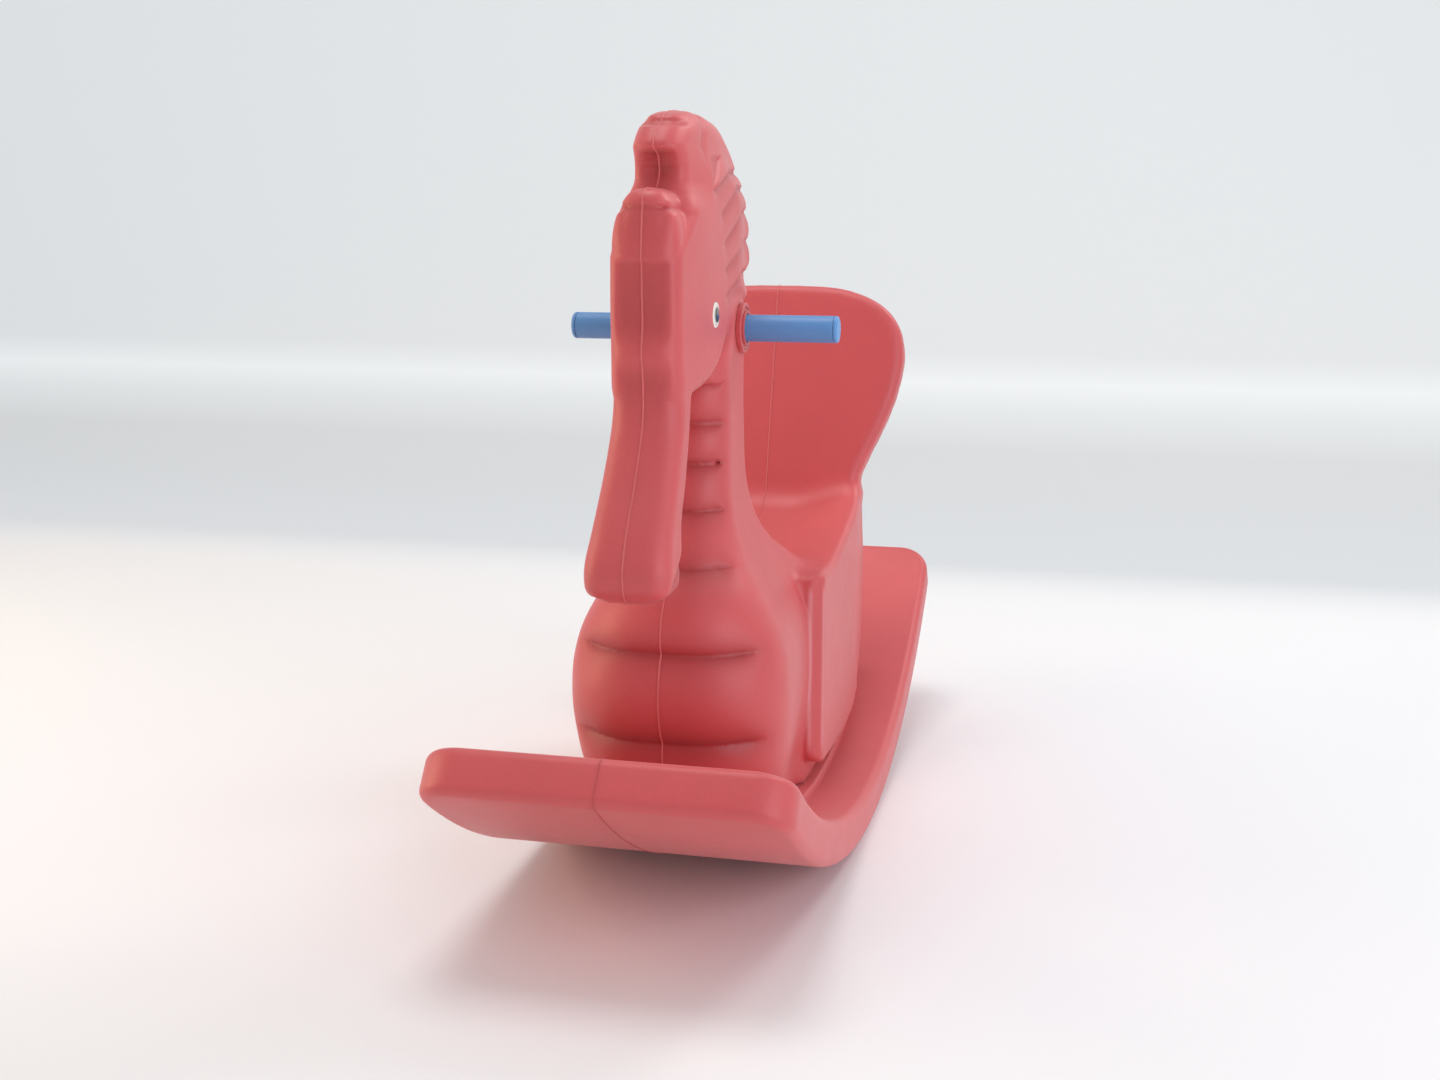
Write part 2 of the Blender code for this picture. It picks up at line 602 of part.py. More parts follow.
def make_body():
    body = joined(body_forms("form"))
    body.name = "body_shell"
    cavity = joined(body_forms("cavity", BODY_WALL))
    reach = ARC_HALF * ROCKER_RADIUS
    under = rolled_plate("body_under", ROCKER_WIDTH, -reach, reach, -UNDERCUT, BODY_BASE, (0, 0), 0, 0)
    floor = rolled_plate(
        "body_floor", ROCKER_WIDTH, -reach, reach, -UNDERCUT, BODY_BASE + BODY_FLOOR, (0, 0), 0, 0,
    )
    combine(body, under, "DIFFERENCE")
    combine(cavity, floor, "DIFFERENCE")
    for number, (row, across) in enumerate(screw_places(), 1):
        boss = cylinder(
            f"insert_boss_{number}", INSERT_RADIUS + BOSS_WALL, 0.0, BODY_BASE + INSERT_LENGTH + BOSS_WALL,
            on_arc(row, 0, across),
        )
        combine(cavity, boss, "DIFFERENCE")
    pin_inner = HANDLE_Y + HANDLE_RADIUS + PIN_BOSS_CLEARANCE
    pin_outer = NECK_BACK + PIN_BOSS_PROUD
    pin_place = Matrix.Translation((0, 0, HANDLE_Z)) @ ALONG_Y
    pin_boss = cylinder("pin_boss", PIN_BOSS_RADIUS, pin_inner, pin_outer, pin_place)
    combine(cavity, pin_boss, "DIFFERENCE")
    combine(body, pin_boss, "UNION")
    combine(body, cavity, "DIFFERENCE")
    for number, (row, across) in enumerate(screw_places(), 1):
        pocket = cylinder(
            f"insert_pocket_{number}", INSERT_RADIUS + GAP, 0.0, BODY_BASE + INSERT_LENGTH + GAP,
            on_arc(row, 0, across),
        )
        combine(body, pocket, "DIFFERENCE")
    axle = Matrix.Translation((0, HANDLE_Y, HANDLE_Z)) @ ALONG_X
    beside = FLANK_HALF_WIDTH
    bush_holes = cylinder("bush_holes", BUSH_SLEEVE_RADIUS + GAP, -beside, beside, axle, BORE_SEGMENTS)
    combine(body, bush_holes, "DIFFERENCE")
    pin_hole = cylinder("pin_hole", PIN_RADIUS + GAP, HANDLE_Y, pin_outer + OVERRUN, pin_place)
    combine(body, pin_hole, "DIFFERENCE")
    head_seat = pin_outer - COVER_HEIGHT - PIN_HEAD_HEIGHT - 2 * GAP
    pin_recess = cylinder("pin_recess", PIN_HEAD_RADIUS + GAP, head_seat, pin_outer + OVERRUN, pin_place)
    combine(body, pin_recess, "DIFFERENCE")
    for sign in (-1, 1):
        seat = Matrix.Translation((0, HANDLE_Y, HANDLE_Z)) @ Matrix.Rotation(math.radians(90 * sign), 4, "Y")
        bush_seat = cylinder(
            "bush_seat", BUSH_FLANGE_RADIUS + GAP, BUSH_SEAT, beside, seat, BORE_SEGMENTS,
        )
        combine(body, bush_seat, "DIFFERENCE")
        eye = eye_place(sign)
        eye_seat = cylinder("eye_seat", EYE_RADIUS + GAP, -GAP, NECK_HALF_WIDTH, eye, 24)
        combine(body, eye_seat, "DIFFERENCE")
        stem_end = EYE_STEM_LENGTH + EYE_STEM_END_CLEARANCE
        eye_hole = cylinder("eye_hole", EYE_STEM_RADIUS + GAP, -stem_end, NECK_HALF_WIDTH, eye, 16)
        combine(body, eye_hole, "DIFFERENCE")
    return publish(body, RED_BODY)


# ---------------------------------------------------------------- handlebar, bushes, eyes and fasteners
def make_handlebar():
    half = HANDLE_LENGTH / 2 - HANDLE_CAP_LIP
    inner = HANDLE_RADIUS - HANDLE_WALL
    groove = GROOVE_WIDTH / 2
    slope = GROOVE_SLOPE
    floor = HANDLE_RADIUS - GROOVE_DEPTH
    rolled = inner - GROOVE_DEPTH
    profile = [
        (HANDLE_RADIUS, half), (HANDLE_RADIUS, groove + slope), (floor, groove), (floor, -groove),
        (HANDLE_RADIUS, -groove - slope), (HANDLE_RADIUS, -half), (inner, -half), (inner, -groove - 3 * slope),
        (rolled, -groove - slope), (rolled, groove + slope), (inner, groove + 3 * slope), (inner, half),
    ]
    axle = Matrix.Translation((0, HANDLE_Y, HANDLE_Z)) @ ALONG_X
    turned("handlebar_tube", profile, axle, BLUE_BAR, 28, closed=True)
    rim = HANDLE_CAP_ROUNDING
    face = HANDLE_CAP_LIP - GAP
    spigot = inner - GAP
    for name, sign in (("handlebar_cap_left", 1), ("handlebar_cap_right", -1)):
        cap = [
            (0, face), (HANDLE_RADIUS - rim, face), (HANDLE_RADIUS - rim * 0.3, face - rim * 0.3),
            (HANDLE_RADIUS, face - rim), (HANDLE_RADIUS, 0), (spigot, 0), (spigot, slope - HANDLE_CAP_SPIGOT),
            (spigot - slope, -HANDLE_CAP_SPIGOT), (0, -HANDLE_CAP_SPIGOT),
        ]
        end = Matrix.Translation((sign * (half + GAP), HANDLE_Y, HANDLE_Z))
        turned(name, cap, end @ Matrix.Rotation(math.radians(90 * sign), 4, "Y"), BLUE_BAR, 28)


def make_bushes():
    """Flanged bush: a lip round the bar, a hollow ring, a lower raised rim, and a sleeve through the wall."""
    lip = BUSH_FLANGE_HEIGHT
    dish = lip - BUSH_DISH_DEPTH
    rim = dish + BUSH_DISH_DEPTH / 2
    bevel = BUSH_BEVEL
    inner = BUSH_BORE + BUSH_RIM_WIDTH
    outer = BUSH_FLANGE_RADIUS - BUSH_RIM_WIDTH
    profile = [
        (BUSH_BORE + bevel, lip), (inner - bevel, lip), (inner, lip - bevel), (inner, dish), (outer, dish),
        (outer + bevel, rim), (BUSH_FLANGE_RADIUS - 2 * bevel, rim), (BUSH_FLANGE_RADIUS, rim - 2 * bevel),
        (BUSH_FLANGE_RADIUS, 0), (BUSH_SLEEVE_RADIUS, 0), (BUSH_SLEEVE_RADIUS, -BUSH_SLEEVE_LENGTH),
        (BUSH_BORE, -BUSH_SLEEVE_LENGTH), (BUSH_BORE, lip - bevel),
    ]
    for name, sign in (("handle_bush_left", 1), ("handle_bush_right", -1)):
        seat = Matrix.Translation((sign * (BUSH_SEAT + GAP), HANDLE_Y, HANDLE_Z))
        place = seat @ Matrix.Rotation(math.radians(90 * sign), 4, "Y")
        turned(name, profile, place, RED_BUSH, 28, closed=True)


def make_locating_screw():
    """Dog-point screw from the back of the neck into the bar's groove, under a push-in cover."""
    outer = NECK_BACK + PIN_BOSS_PROUD
    head_top = outer - COVER_HEIGHT - GAP
    tip = HANDLE_Y + HANDLE_RADIUS - GROOVE_DEPTH + 2 * GAP
    under_head = head_top - PIN_HEAD_HEIGHT
    profile = [
        (0, head_top), (PIN_HEAD_RADIUS, head_top), (PIN_HEAD_RADIUS, under_head), (PIN_RADIUS, under_head),
        (PIN_RADIUS, tip), (0, tip),
    ]
    place = Matrix.Translation((0, 0, HANDLE_Z)) @ ALONG_Y
    turned("handle_locating_screw", profile, place, ZINC, 20)
    cover = [
        (0, outer), (PIN_HEAD_RADIUS - COVER_BEVEL, outer), (PIN_HEAD_RADIUS, outer - COVER_BEVEL),
        (PIN_HEAD_RADIUS, head_top + GAP), (0, head_top + GAP),
    ]
    turned("locating_screw_cover", cover, place, RED_BUSH, 20)


def make_eyes():
    for tag, sign in (("left", 1), ("right", -1)):
        place = eye_place(sign)
        top = EYE_THICKNESS
        white = [
            (0, top), (EYE_RADIUS * 0.86, top), (EYE_RADIUS * 0.96, top * 0.8), (EYE_RADIUS, top * 0.5),
            (EYE_RADIUS, 0), (EYE_STEM_RADIUS, 0), (EYE_STEM_RADIUS, -EYE_STEM_LENGTH), (0, -EYE_STEM_LENGTH),
        ]
        turned(f"eye_white_{tag}", white, place, WHITE_EYE, 28)
        bottom = top + GAP
        pupil = [
            (0, bottom + PUPIL_HEIGHT), (PUPIL_RADIUS * 0.6, bottom + PUPIL_HEIGHT * 0.85),
            (PUPIL_RADIUS * 0.9, bottom + PUPIL_HEIGHT * 0.5), (PUPIL_RADIUS, bottom), (0, bottom),
        ]
        turned(f"eye_pupil_{tag}", pupil, place @ Matrix.Translation((0, PUPIL_SHIFT, 0)), BLACK_PUPIL, 24)


def make_fasteners():
    """Screw, washer and moulded-in insert at each well of the rocker."""
    well_top = ROCKER_THICKNESS - ROCKER_WALL
    washer_top = well_top - GAP
    washer_low = washer_top - WASHER_THICKNESS
    head_top = washer_low - GAP
    head_low = head_top - SCREW_HEAD_HEIGHT
    tip = BODY_BASE + SCREW_REACH
    bevel = SCREW_BEVEL
    socket_top = head_low + SOCKET_DEPTH
    for number, (row, across) in enumerate(screw_places(), 1):
        place = on_arc(row, 0, across)
        screw = [
            (0, tip), (SCREW_RADIUS - bevel, tip), (SCREW_RADIUS, tip - bevel), (SCREW_RADIUS, head_top),
            (SCREW_HEAD_RADIUS, head_top), (SCREW_HEAD_RADIUS, head_low + bevel),
            (SCREW_HEAD_RADIUS - bevel, head_low), (SOCKET_RADIUS, head_low), (SOCKET_RADIUS, socket_top),
            (0, socket_top),
        ]
        turned(f"base_screw_{number}", screw, place, ZINC, 14)
        bore = SCREW_RADIUS + GAP
        washer = [
            (bore, washer_top), (WASHER_RADIUS, washer_top), (WASHER_RADIUS, washer_low), (bore, washer_low),
        ]
        turned(f"base_washer_{number}", washer, place, ZINC, 18, closed=True)
        top = BODY_BASE + INSERT_LENGTH
        waist = INSERT_RADIUS - INSERT_WAIST_DEPTH
        upper = top - INSERT_BAND
        lower = BODY_BASE + INSERT_BAND
        insert = [
            (bore, top), (INSERT_RADIUS, top), (INSERT_RADIUS, upper), (waist, upper - INSERT_WAIST_DEPTH),
            (waist, lower + INSERT_WAIST_DEPTH), (INSERT_RADIUS, lower), (INSERT_RADIUS, BODY_BASE + GAP),
            (bore, BODY_BASE + GAP),
        ]
        turned(f"threaded_insert_{number}", insert, place, BRASS, 14, closed=True)


def make_vent_plug():
    bevel = VENT_BEVEL
    plug = [
        (0, VENT_PLUG_LENGTH), (VENT_RADIUS - 2 * bevel, VENT_PLUG_LENGTH),
        (VENT_RADIUS, VENT_PLUG_LENGTH - 3 * bevel), (VENT_RADIUS, VENT_FLANGE_HEIGHT),
        (VENT_FLANGE_RADIUS, VENT_FLANGE_HEIGHT), (VENT_FLANGE_RADIUS, GAP + bevel),
        (VENT_FLANGE_RADIUS - bevel, GAP), (0, GAP),
    ]
    turned("rocker_vent_plug", plug, on_arc(VENT_PLACE, 0), GREY_PLUG, 20)


make_rocker()
make_body()
make_handlebar()
make_bushes()
make_locating_screw()
make_eyes()
make_fasteners()
make_vent_plug()
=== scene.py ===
import math

import bmesh
import bpy
import numpy as np
from mathutils import Matrix, Vector


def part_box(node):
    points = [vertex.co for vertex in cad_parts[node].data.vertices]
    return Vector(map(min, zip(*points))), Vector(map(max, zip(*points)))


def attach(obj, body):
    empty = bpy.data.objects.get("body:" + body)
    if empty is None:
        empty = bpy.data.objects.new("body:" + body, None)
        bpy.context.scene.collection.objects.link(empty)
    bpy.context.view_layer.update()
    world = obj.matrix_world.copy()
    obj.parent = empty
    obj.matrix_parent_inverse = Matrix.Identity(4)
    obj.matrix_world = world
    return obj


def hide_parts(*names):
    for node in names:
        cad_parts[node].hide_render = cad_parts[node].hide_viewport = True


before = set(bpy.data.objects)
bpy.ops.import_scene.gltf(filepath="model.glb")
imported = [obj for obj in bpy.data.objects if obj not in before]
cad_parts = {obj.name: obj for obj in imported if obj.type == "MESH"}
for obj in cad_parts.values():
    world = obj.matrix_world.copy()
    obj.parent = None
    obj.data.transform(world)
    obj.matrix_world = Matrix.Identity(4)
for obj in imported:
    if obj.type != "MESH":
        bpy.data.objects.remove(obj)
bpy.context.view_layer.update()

scene = bpy.context.scene
rockerBody = "rocker"
barBody = "handlebar"


# small helpers
def newObject(name, mesh):
    obj = bpy.data.objects.new(name, mesh)
    scene.collection.objects.link(obj)
    return obj


def meshFromBmesh(name, bm):
    bmesh.ops.remove_doubles(bm, verts=bm.verts, dist=0.000005)
    bmesh.ops.recalc_face_normals(bm, faces=bm.faces)
    mesh = bpy.data.meshes.new(name)
    bm.to_mesh(mesh)
    bm.free()
    return mesh


def applyModifiers(obj):
    graph = bpy.context.evaluated_depsgraph_get()
    mesh = bpy.data.meshes.new_from_object(obj.evaluated_get(graph))
    obj.modifiers.clear()
    obj.data = mesh
    return obj


def combine(target, other, operation):
    cut = target.modifiers.new("cut", "BOOLEAN")
    cut.operation = operation
    cut.object = other
    cut.solver = "EXACT"
    applyModifiers(target)
    bpy.data.objects.remove(other, do_unlink=True)
    return target


def shadeSmooth(obj, angle):
    obj.data.shade_smooth()
    obj.data.set_sharp_from_angle(angle=math.radians(angle))


def finishPiece(obj, material, body, slot, *nodes):
    obj.data.materials.clear()
    obj.data.materials.append(material)
    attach(obj, body)
    if nodes:
        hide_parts(*nodes)
    return obj


def spinProfile(name, profile, place, steps, closed):
    # profile is (radius, height) pairs, turned about the local Z of place
    bm = bmesh.new()
    verts = [bm.verts.new((radius, 0, height)) for radius, height in profile]
    edges = [bm.edges.new(pair) for pair in zip(verts, verts[1:])]
    if closed:
        edges.append(bm.edges.new((verts[-1], verts[0])))
    bmesh.ops.spin(
        bm, geom=verts + edges, cent=(0, 0, 0), axis=(0, 0, 1), dvec=(0, 0, 0),
        angle=2 * math.pi, steps=steps, use_merge=True, use_duplicate=False,
    )
    bmesh.ops.transform(bm, matrix=place, verts=bm.verts)
    return newObject(name, meshFromBmesh(name, bm))


def roundCorner(centre, radius, start, end, steps=5):
    # points of an arc, angles in degrees from the profile's radius axis
    angles = [math.radians(start + (end - start) * k / steps) for k in range(steps + 1)]
    return [(centre[0] + radius * math.cos(a), centre[1] + radius * math.sin(a)) for a in angles]


def cylinderAlong(bm, place, radius, low, high, segments=64):
    bmesh.ops.create_cone(
        bm, cap_ends=True, segments=segments, radius1=radius, radius2=radius, depth=high - low,
        matrix=place @ Matrix.Translation((0, 0, (low + high) / 2)),
    )


# materials
def addNode(tree, kind, **values):
    node = tree.nodes.new(kind)
    for key, value in values.items():
        setattr(node, key, value)
    return node


def noiseOf(tree, coords, scale, detail=3.0, stretch=None):
    if stretch:
        mapping = addNode(tree, "ShaderNodeMapping")
        mapping.inputs["Scale"].default_value = stretch
        tree.links.new(coords, mapping.inputs["Vector"])
        coords = mapping.outputs["Vector"]
    noise = addNode(tree, "ShaderNodeTexNoise")
    noise.inputs["Scale"].default_value = scale
    noise.inputs["Detail"].default_value = detail
    tree.links.new(coords, noise.inputs["Vector"])
    return noise.outputs["Fac"]


def rampOf(tree, factor, stops):
    ramp = addNode(tree, "ShaderNodeValToRGB")
    ramp.color_ramp.elements[0].position = stops[0][0]
    ramp.color_ramp.elements[0].color = stops[0][1]
    ramp.color_ramp.elements[1].position = stops[-1][0]
    ramp.color_ramp.elements[1].color = stops[-1][1]
    for position, colour in stops[1:-1]:
        ramp.color_ramp.elements.new(position).color = colour
    tree.links.new(factor, ramp.inputs["Fac"])
    return ramp.outputs["Color"]


def rangeOf(tree, factor, low, high):
    spread = addNode(tree, "ShaderNodeMapRange")
    spread.inputs["To Min"].default_value = low
    spread.inputs["To Max"].default_value = high
    tree.links.new(factor, spread.inputs["Value"])
    return spread.outputs["Result"]


def shade(colour, factor):
    return (*[min(1.0, c * factor) for c in colour], 1.0)


def multiplied(tree, one, other):
    mix = addNode(tree, "ShaderNodeMix", data_type="RGBA", blend_type="MULTIPLY")
    mix.inputs["Factor"].default_value = 1.0
    tree.links.new(one, mix.inputs["A"])
    tree.links.new(other, mix.inputs["B"])
    return mix.outputs["Result"]


def mouldedPlastic(name, look):
    material = bpy.data.materials.new(name)
    material.use_nodes = True
    tree = material.node_tree
    shader = tree.nodes["Principled BSDF"]
    shader.inputs["Metallic"].default_value = look.get("metallic", 0.0)
    shader.inputs["Specular IOR Level"].default_value = look.get("specular", 0.5)
    shader.inputs["Sheen Weight"].default_value = look.get("sheen", 0.0)
    shader.inputs["Sheen Roughness"].default_value = 0.5
    shader.inputs["Coat Weight"].default_value = look.get("coat", 0.0)
    shader.inputs["Coat Roughness"].default_value = look.get("coatRoughness", 0.3)
    coords = addNode(tree, "ShaderNodeTexCoord").outputs["Object"]
    # broad flow marks in the colour, and fine specks of pigment over them
    flow = noiseOf(tree, coords, look["flowScale"], 4.0, look.get("flowStretch"))
    specks = noiseOf(tree, coords, look["speckScale"], 2.0)
    base = rampOf(tree, flow, [
        (0.30, shade(look["colour"], look["darkShare"])),
        (0.52, shade(look["colour"], 1.0)),
        (0.74, shade(look["colour"], look["lightShare"])),
    ])
    tone = rampOf(tree, specks, [(0.35, shade((1, 1, 1), look["speckShare"])), (0.65, (1, 1, 1, 1))])
    colour = multiplied(tree, base, tone)
    if "paintedCreaseShade" in look:
        # painted shade: darker, deeper red where the moulding has a crease or a hollow, where shade falls
        # the hollow attribute is the mask of this painted shade
        depth = addNode(tree, "ShaderNodeAttribute", attribute_name="hollow").outputs["Fac"]
        paintedShade = rampOf(tree, depth, [(0.0, (1, 1, 1, 1)), (1.0, (*look["paintedCreaseShade"], 1))])
        colour = multiplied(tree, colour, paintedShade)
        # painted highlight: paler along the two straight edges down each hip's front, where they catch the light
        edge = addNode(tree, "ShaderNodeAttribute", attribute_name="edge").outputs["Fac"]
        paintedHighlight = addNode(tree, "ShaderNodeMix", data_type="RGBA")
        paintedHighlight.inputs["B"].default_value = (*look["paintedEdgeHighlight"], 1)
        tree.links.new(edge, paintedHighlight.inputs["Factor"])
        tree.links.new(colour, paintedHighlight.inputs["A"])
        colour = paintedHighlight.outputs["Result"]
    tree.links.new(colour, shader.inputs["Base Color"])
    # satin gloss that changes a little from place to place
    handled = noiseOf(tree, coords, look["glossScale"], 5.0)
    low, high = look["roughness"]
    tree.links.new(rangeOf(tree, handled, low, high), shader.inputs["Roughness"])
    # skin of the mould: a fine grain on slow waves
    grain = addNode(tree, "ShaderNodeBump")
    grain.inputs["Strength"].default_value = look["grainStrength"]
    grain.inputs["Distance"].default_value = look["grainDepth"]
    tree.links.new(noiseOf(tree, coords, look["grainScale"], 3.0), grain.inputs["Height"])
    waves = addNode(tree, "ShaderNodeBump")
    waves.inputs["Strength"].default_value = look["waveStrength"]
    waves.inputs["Distance"].default_value = look["waveDepth"]
    tree.links.new(noiseOf(tree, coords, look["waveScale"], 2.0), waves.inputs["Height"])
    tree.links.new(grain.outputs["Normal"], waves.inputs["Normal"])
    tree.links.new(waves.outputs["Normal"], shader.inputs["Normal"])
    return material


redLook = {
    "colour": (0.640, 0.088, 0.092), "darkShare": 0.93, "lightShare": 1.05, "speckShare": 0.965,
    "flowScale": 7.0, "speckScale": 420.0, "glossScale": 38.0, "roughness": (0.40, 0.52),
    "grainScale": 1100.0, "grainStrength": 0.22, "grainDepth": 0.00035,
    "waveScale": 16.0, "waveStrength": 0.10, "waveDepth": 0.004, "specular": 0.5, "sheen": 0.12,
}
# the body's look adds painted shade in its creases and hollows, and a painted highlight down the hips' front edges
bodyLook = dict(redLook, paintedCreaseShade=(0.62, 0.38, 0.39), paintedEdgeHighlight=(0.78, 0.36, 0.38))
# the body's parting line is a paler red: a painted highlight along its fine ridge
seamHighlightLook = dict(redLook, colour=(0.69, 0.128, 0.128))
jointLook = dict(redLook, colour=(0.50, 0.058, 0.062))
bushLook = dict(
    redLook, colour=(0.600, 0.085, 0.090), roughness=(0.34, 0.46), flowScale=60.0, waveScale=90.0, waveDepth=0.0008,
)
blueLook = {
    "colour": (0.115, 0.315, 0.640), "darkShare": 0.92, "lightShare": 1.07, "speckShare": 0.96,
    "flowScale": 24.0, "flowStretch": (0.25, 1.0, 1.0), "speckScale": 500.0, "glossScale": 70.0,
    "roughness": (0.36, 0.50), "grainScale": 1300.0, "grainStrength": 0.2, "grainDepth": 0.0003,
    "waveScale": 60.0, "waveStrength": 0.1, "waveDepth": 0.0006, "specular": 0.5,
}
whiteLook = dict(blueLook, colour=(0.86, 0.83, 0.72), roughness=(0.22, 0.32), flowStretch=None, flowScale=120.0)
blackLook = dict(blueLook, colour=(0.030, 0.034, 0.040), roughness=(0.10, 0.18), flowStretch=None, flowScale=150.0,
                 coat=0.6, coatRoughness=0.08)
zincLook = {
    "colour": (0.62, 0.63, 0.65), "darkShare": 0.85, "lightShare": 1.12, "speckShare": 0.9,
    "flowScale": 220.0, "speckScale": 900.0, "glossScale": 300.0, "roughness": (0.24, 0.42),
    "grainScale": 2400.0, "grainStrength": 0.25, "grainDepth": 0.00015,
    "waveScale": 260.0, "waveStrength": 0.1, "waveDepth": 0.0002, "metallic": 1.0,
}
brassLook = dict(zincLook, colour=(0.78, 0.58, 0.27))
rubberLook = dict(zincLook, colour=(0.085, 0.085, 0.092), metallic=0.0, roughness=(0.62, 0.78))

redPlastic = mouldedPlastic("redMouldedPlastic", redLook)
bodyPlastic = mouldedPlastic("redBodyPlastic", bodyLook)
seamHighlightPlastic = mouldedPlastic("redSeamPaintedHighlight", seamHighlightLook)
jointPlastic = mouldedPlastic("redJointPlastic", jointLook)
bushPlastic = mouldedPlastic("redBushPlastic", bushLook)
bluePlastic = mouldedPlastic("blueBarPlastic", blueLook)
whitePlastic = mouldedPlastic("whiteEyePlastic", whiteLook)
blackPlastic = mouldedPlastic("blackPupilPlastic", blackLook)
zincPlate = mouldedPlastic("zincPlatedSteel", zincLook)
brassMetal = mouldedPlastic("insertBrass", brassLook)
plugRubber = mouldedPlastic("greyPlugRubber", rubberLook)
print("materials made")

# the body moulding
# Side view points are (y, z); the body is the same on both sides of the plane x = 0.
bodyShape = {
    "coarse": 0.0060, "neckHalf": 0.035, "headEdge": 0.0185, "flankHalf": 0.099, "footHalf": 0.088,
    "hipHalf": 0.106, "snoutHalf": 0.0315,
    "backrestHalf": 0.139, "backrestThickness": 0.034, "backrestEdge": 0.0105, "backrestBase": 0.0896,
    "backrestLean": math.radians(15.6), "arcRadius": 0.714, "arcCentre": 0.71368, "foot": 0.0473,
    "rumpCorner": 0.045, "seamRadius": 0.00075, "seamSpacing": 0.0028,
}
headOutline = [
    (-0.150, 0.6710), (-0.188, 0.6740), (-0.226, 0.6715), (-0.248, 0.6630), (-0.2655, 0.6480), (-0.2650, 0.6400),
    (-0.2570, 0.6270), (-0.2640, 0.6160), (-0.2850, 0.6110), (-0.3035, 0.5950), (-0.3045, 0.5620),
    (-0.3060, 0.5300), (-0.3060, 0.5000), (-0.3010, 0.4460), (-0.2700, 0.4390), (-0.2250, 0.4430),
    (-0.1900, 0.4500), (-0.1670, 0.4600), (-0.1520, 0.4740), (-0.1420, 0.4920), (-0.1250, 0.5080),
    (-0.0950, 0.5130), (-0.0700, 0.5090), (-0.0560, 0.5110), (-0.0200, 0.5220), (0.0060, 0.5340),
    (0.0200, 0.5420), (0.0200, 0.5550),
    (0.0140, 0.5650), (0.0185, 0.5720), (0.0130, 0.5840), (0.0020, 0.5920), (0.0050, 0.5980),
    (-0.0060, 0.6070), (-0.0180, 0.6120), (-0.0160, 0.6170), (-0.0280, 0.6250), (-0.0400, 0.6300),
    (-0.0630, 0.6460), (-0.0900, 0.6590), (-0.1206, 0.6680),
]
# height, front, back, half width as a share, front radius, back radius
snoutSections = [
    (0.520, -0.3040, -0.235, 0.88, 0.019, 0.020), (0.460, -0.3010, -0.240, 0.92, 0.019, 0.022),
    (0.430, -0.3030, -0.250, 0.96, 0.020, 0.022), (0.385, -0.3260, -0.268, 1.00, 0.020, 0.022),
    (0.341, -0.3550, -0.293, 1.07, 0.020, 0.022), (0.320, -0.3640, -0.300, 1.14, 0.019, 0.020),
    (0.306, -0.3640, -0.303, 1.15, 0.018, 0.018), (0.289, -0.3580, -0.306, 1.06, 0.014, 0.014),
]
# height, front, back, half width from neck (0) to flank (1), front radius, back radius
trunkSections = [
    (0.545, -0.175, -0.066, -0.015, 0.030, 0.020), (0.460, -0.171, -0.066, -0.015, 0.032, 0.026),
    (0.400, -0.173, -0.064, 0.000, 0.034, 0.031), (0.340, -0.187, -0.058, 0.060, 0.038, 0.035),
    (0.315, -0.202, -0.046, 0.150, 0.043, 0.040), (0.290, -0.224, -0.020, 0.320, 0.052, 0.050),
    (0.270, -0.243, 0.016, 0.520, 0.062, 0.060), (0.253, -0.253, 0.050, 0.680, 0.070, 0.068),
    (0.236, -0.259, 0.074, 0.820, 0.076, 0.070), (0.210, -0.263, 0.090, 0.950, 0.080, 0.070),
    (0.174, -0.265, 0.100, 1.00, 0.082, 0.070), (0.120, -0.253, 0.100, 0.94, 0.078, 0.070),
    (0.080, -0.240, 0.100, 0.83, 0.074, 0.070), (0.000, -0.240, 0.100, 0.83, 0.074, 0.070),
]
# height, front, back, half width from foot (0) to flank (1), front radius, back radius
rumpSections = [
    (0.252, -0.060, 0.205, 0.00, 0.030, 0.045), (0.236, -0.070, 0.235, 0.10, 0.030, 0.045),
    (0.200, -0.080, 0.256, 0.25, 0.030, 0.050), (0.120, -0.080, 0.270, 0.20, 0.030, 0.050),
    (0.080, -0.080, 0.270, 0.00, 0.030, 0.045), (0.000, -0.080, 0.262, 0.00, 0.030, 0.045),
]
hipOutline = [
    (-0.069, 0.244), (-0.069, 0.200), (-0.069, 0.140), (-0.069, 0.096), (-0.064, 0.076), (-0.040, 0.070),
    (0.080, 0.066), (0.180, 0.086), (0.238, 0.112), (0.248, 0.170), (0.243, 0.240), (0.222, 0.286),
    (0.180, 0.298), (0.140, 0.288), (0.070, 0.271), (0.020, 0.2605), (-0.020, 0.2570), (-0.050, 0.2575),
    (-0.064, 0.2540),
]
# across and up the leaning panel, right half from its top middle down to the seat
backrestOutline = [
    (0.000, 0.508), (0.400, 0.507), (0.640, 0.500), (0.840, 0.486), (0.950, 0.468), (0.998, 0.446),
    (1.000, 0.424), (0.950, 0.390), (0.860, 0.357), (0.765, 0.328), (0.706, 0.306), (0.680, 0.288),
    (0.620, 0.262), (0.520, 0.210),
]
# each lock of the mane ends in a crease, from a point on the side of the head back to its notch
maneCreases = [
    [(-0.1930, 0.6090), (-0.1220, 0.6256), (-0.0350, 0.6270)],
    [(-0.1750, 0.5900), (-0.1080, 0.6125), (-0.0170, 0.6115)],
    [(-0.1640, 0.5650), (-0.0880, 0.5920), (-0.0020, 0.5915)],
    [(-0.1600, 0.5425), (-0.0730, 0.5646), (0.0090, 0.5645)],
    [(-0.1560, 0.5205), (-0.0810, 0.5390), (0.0030, 0.5345)],
]
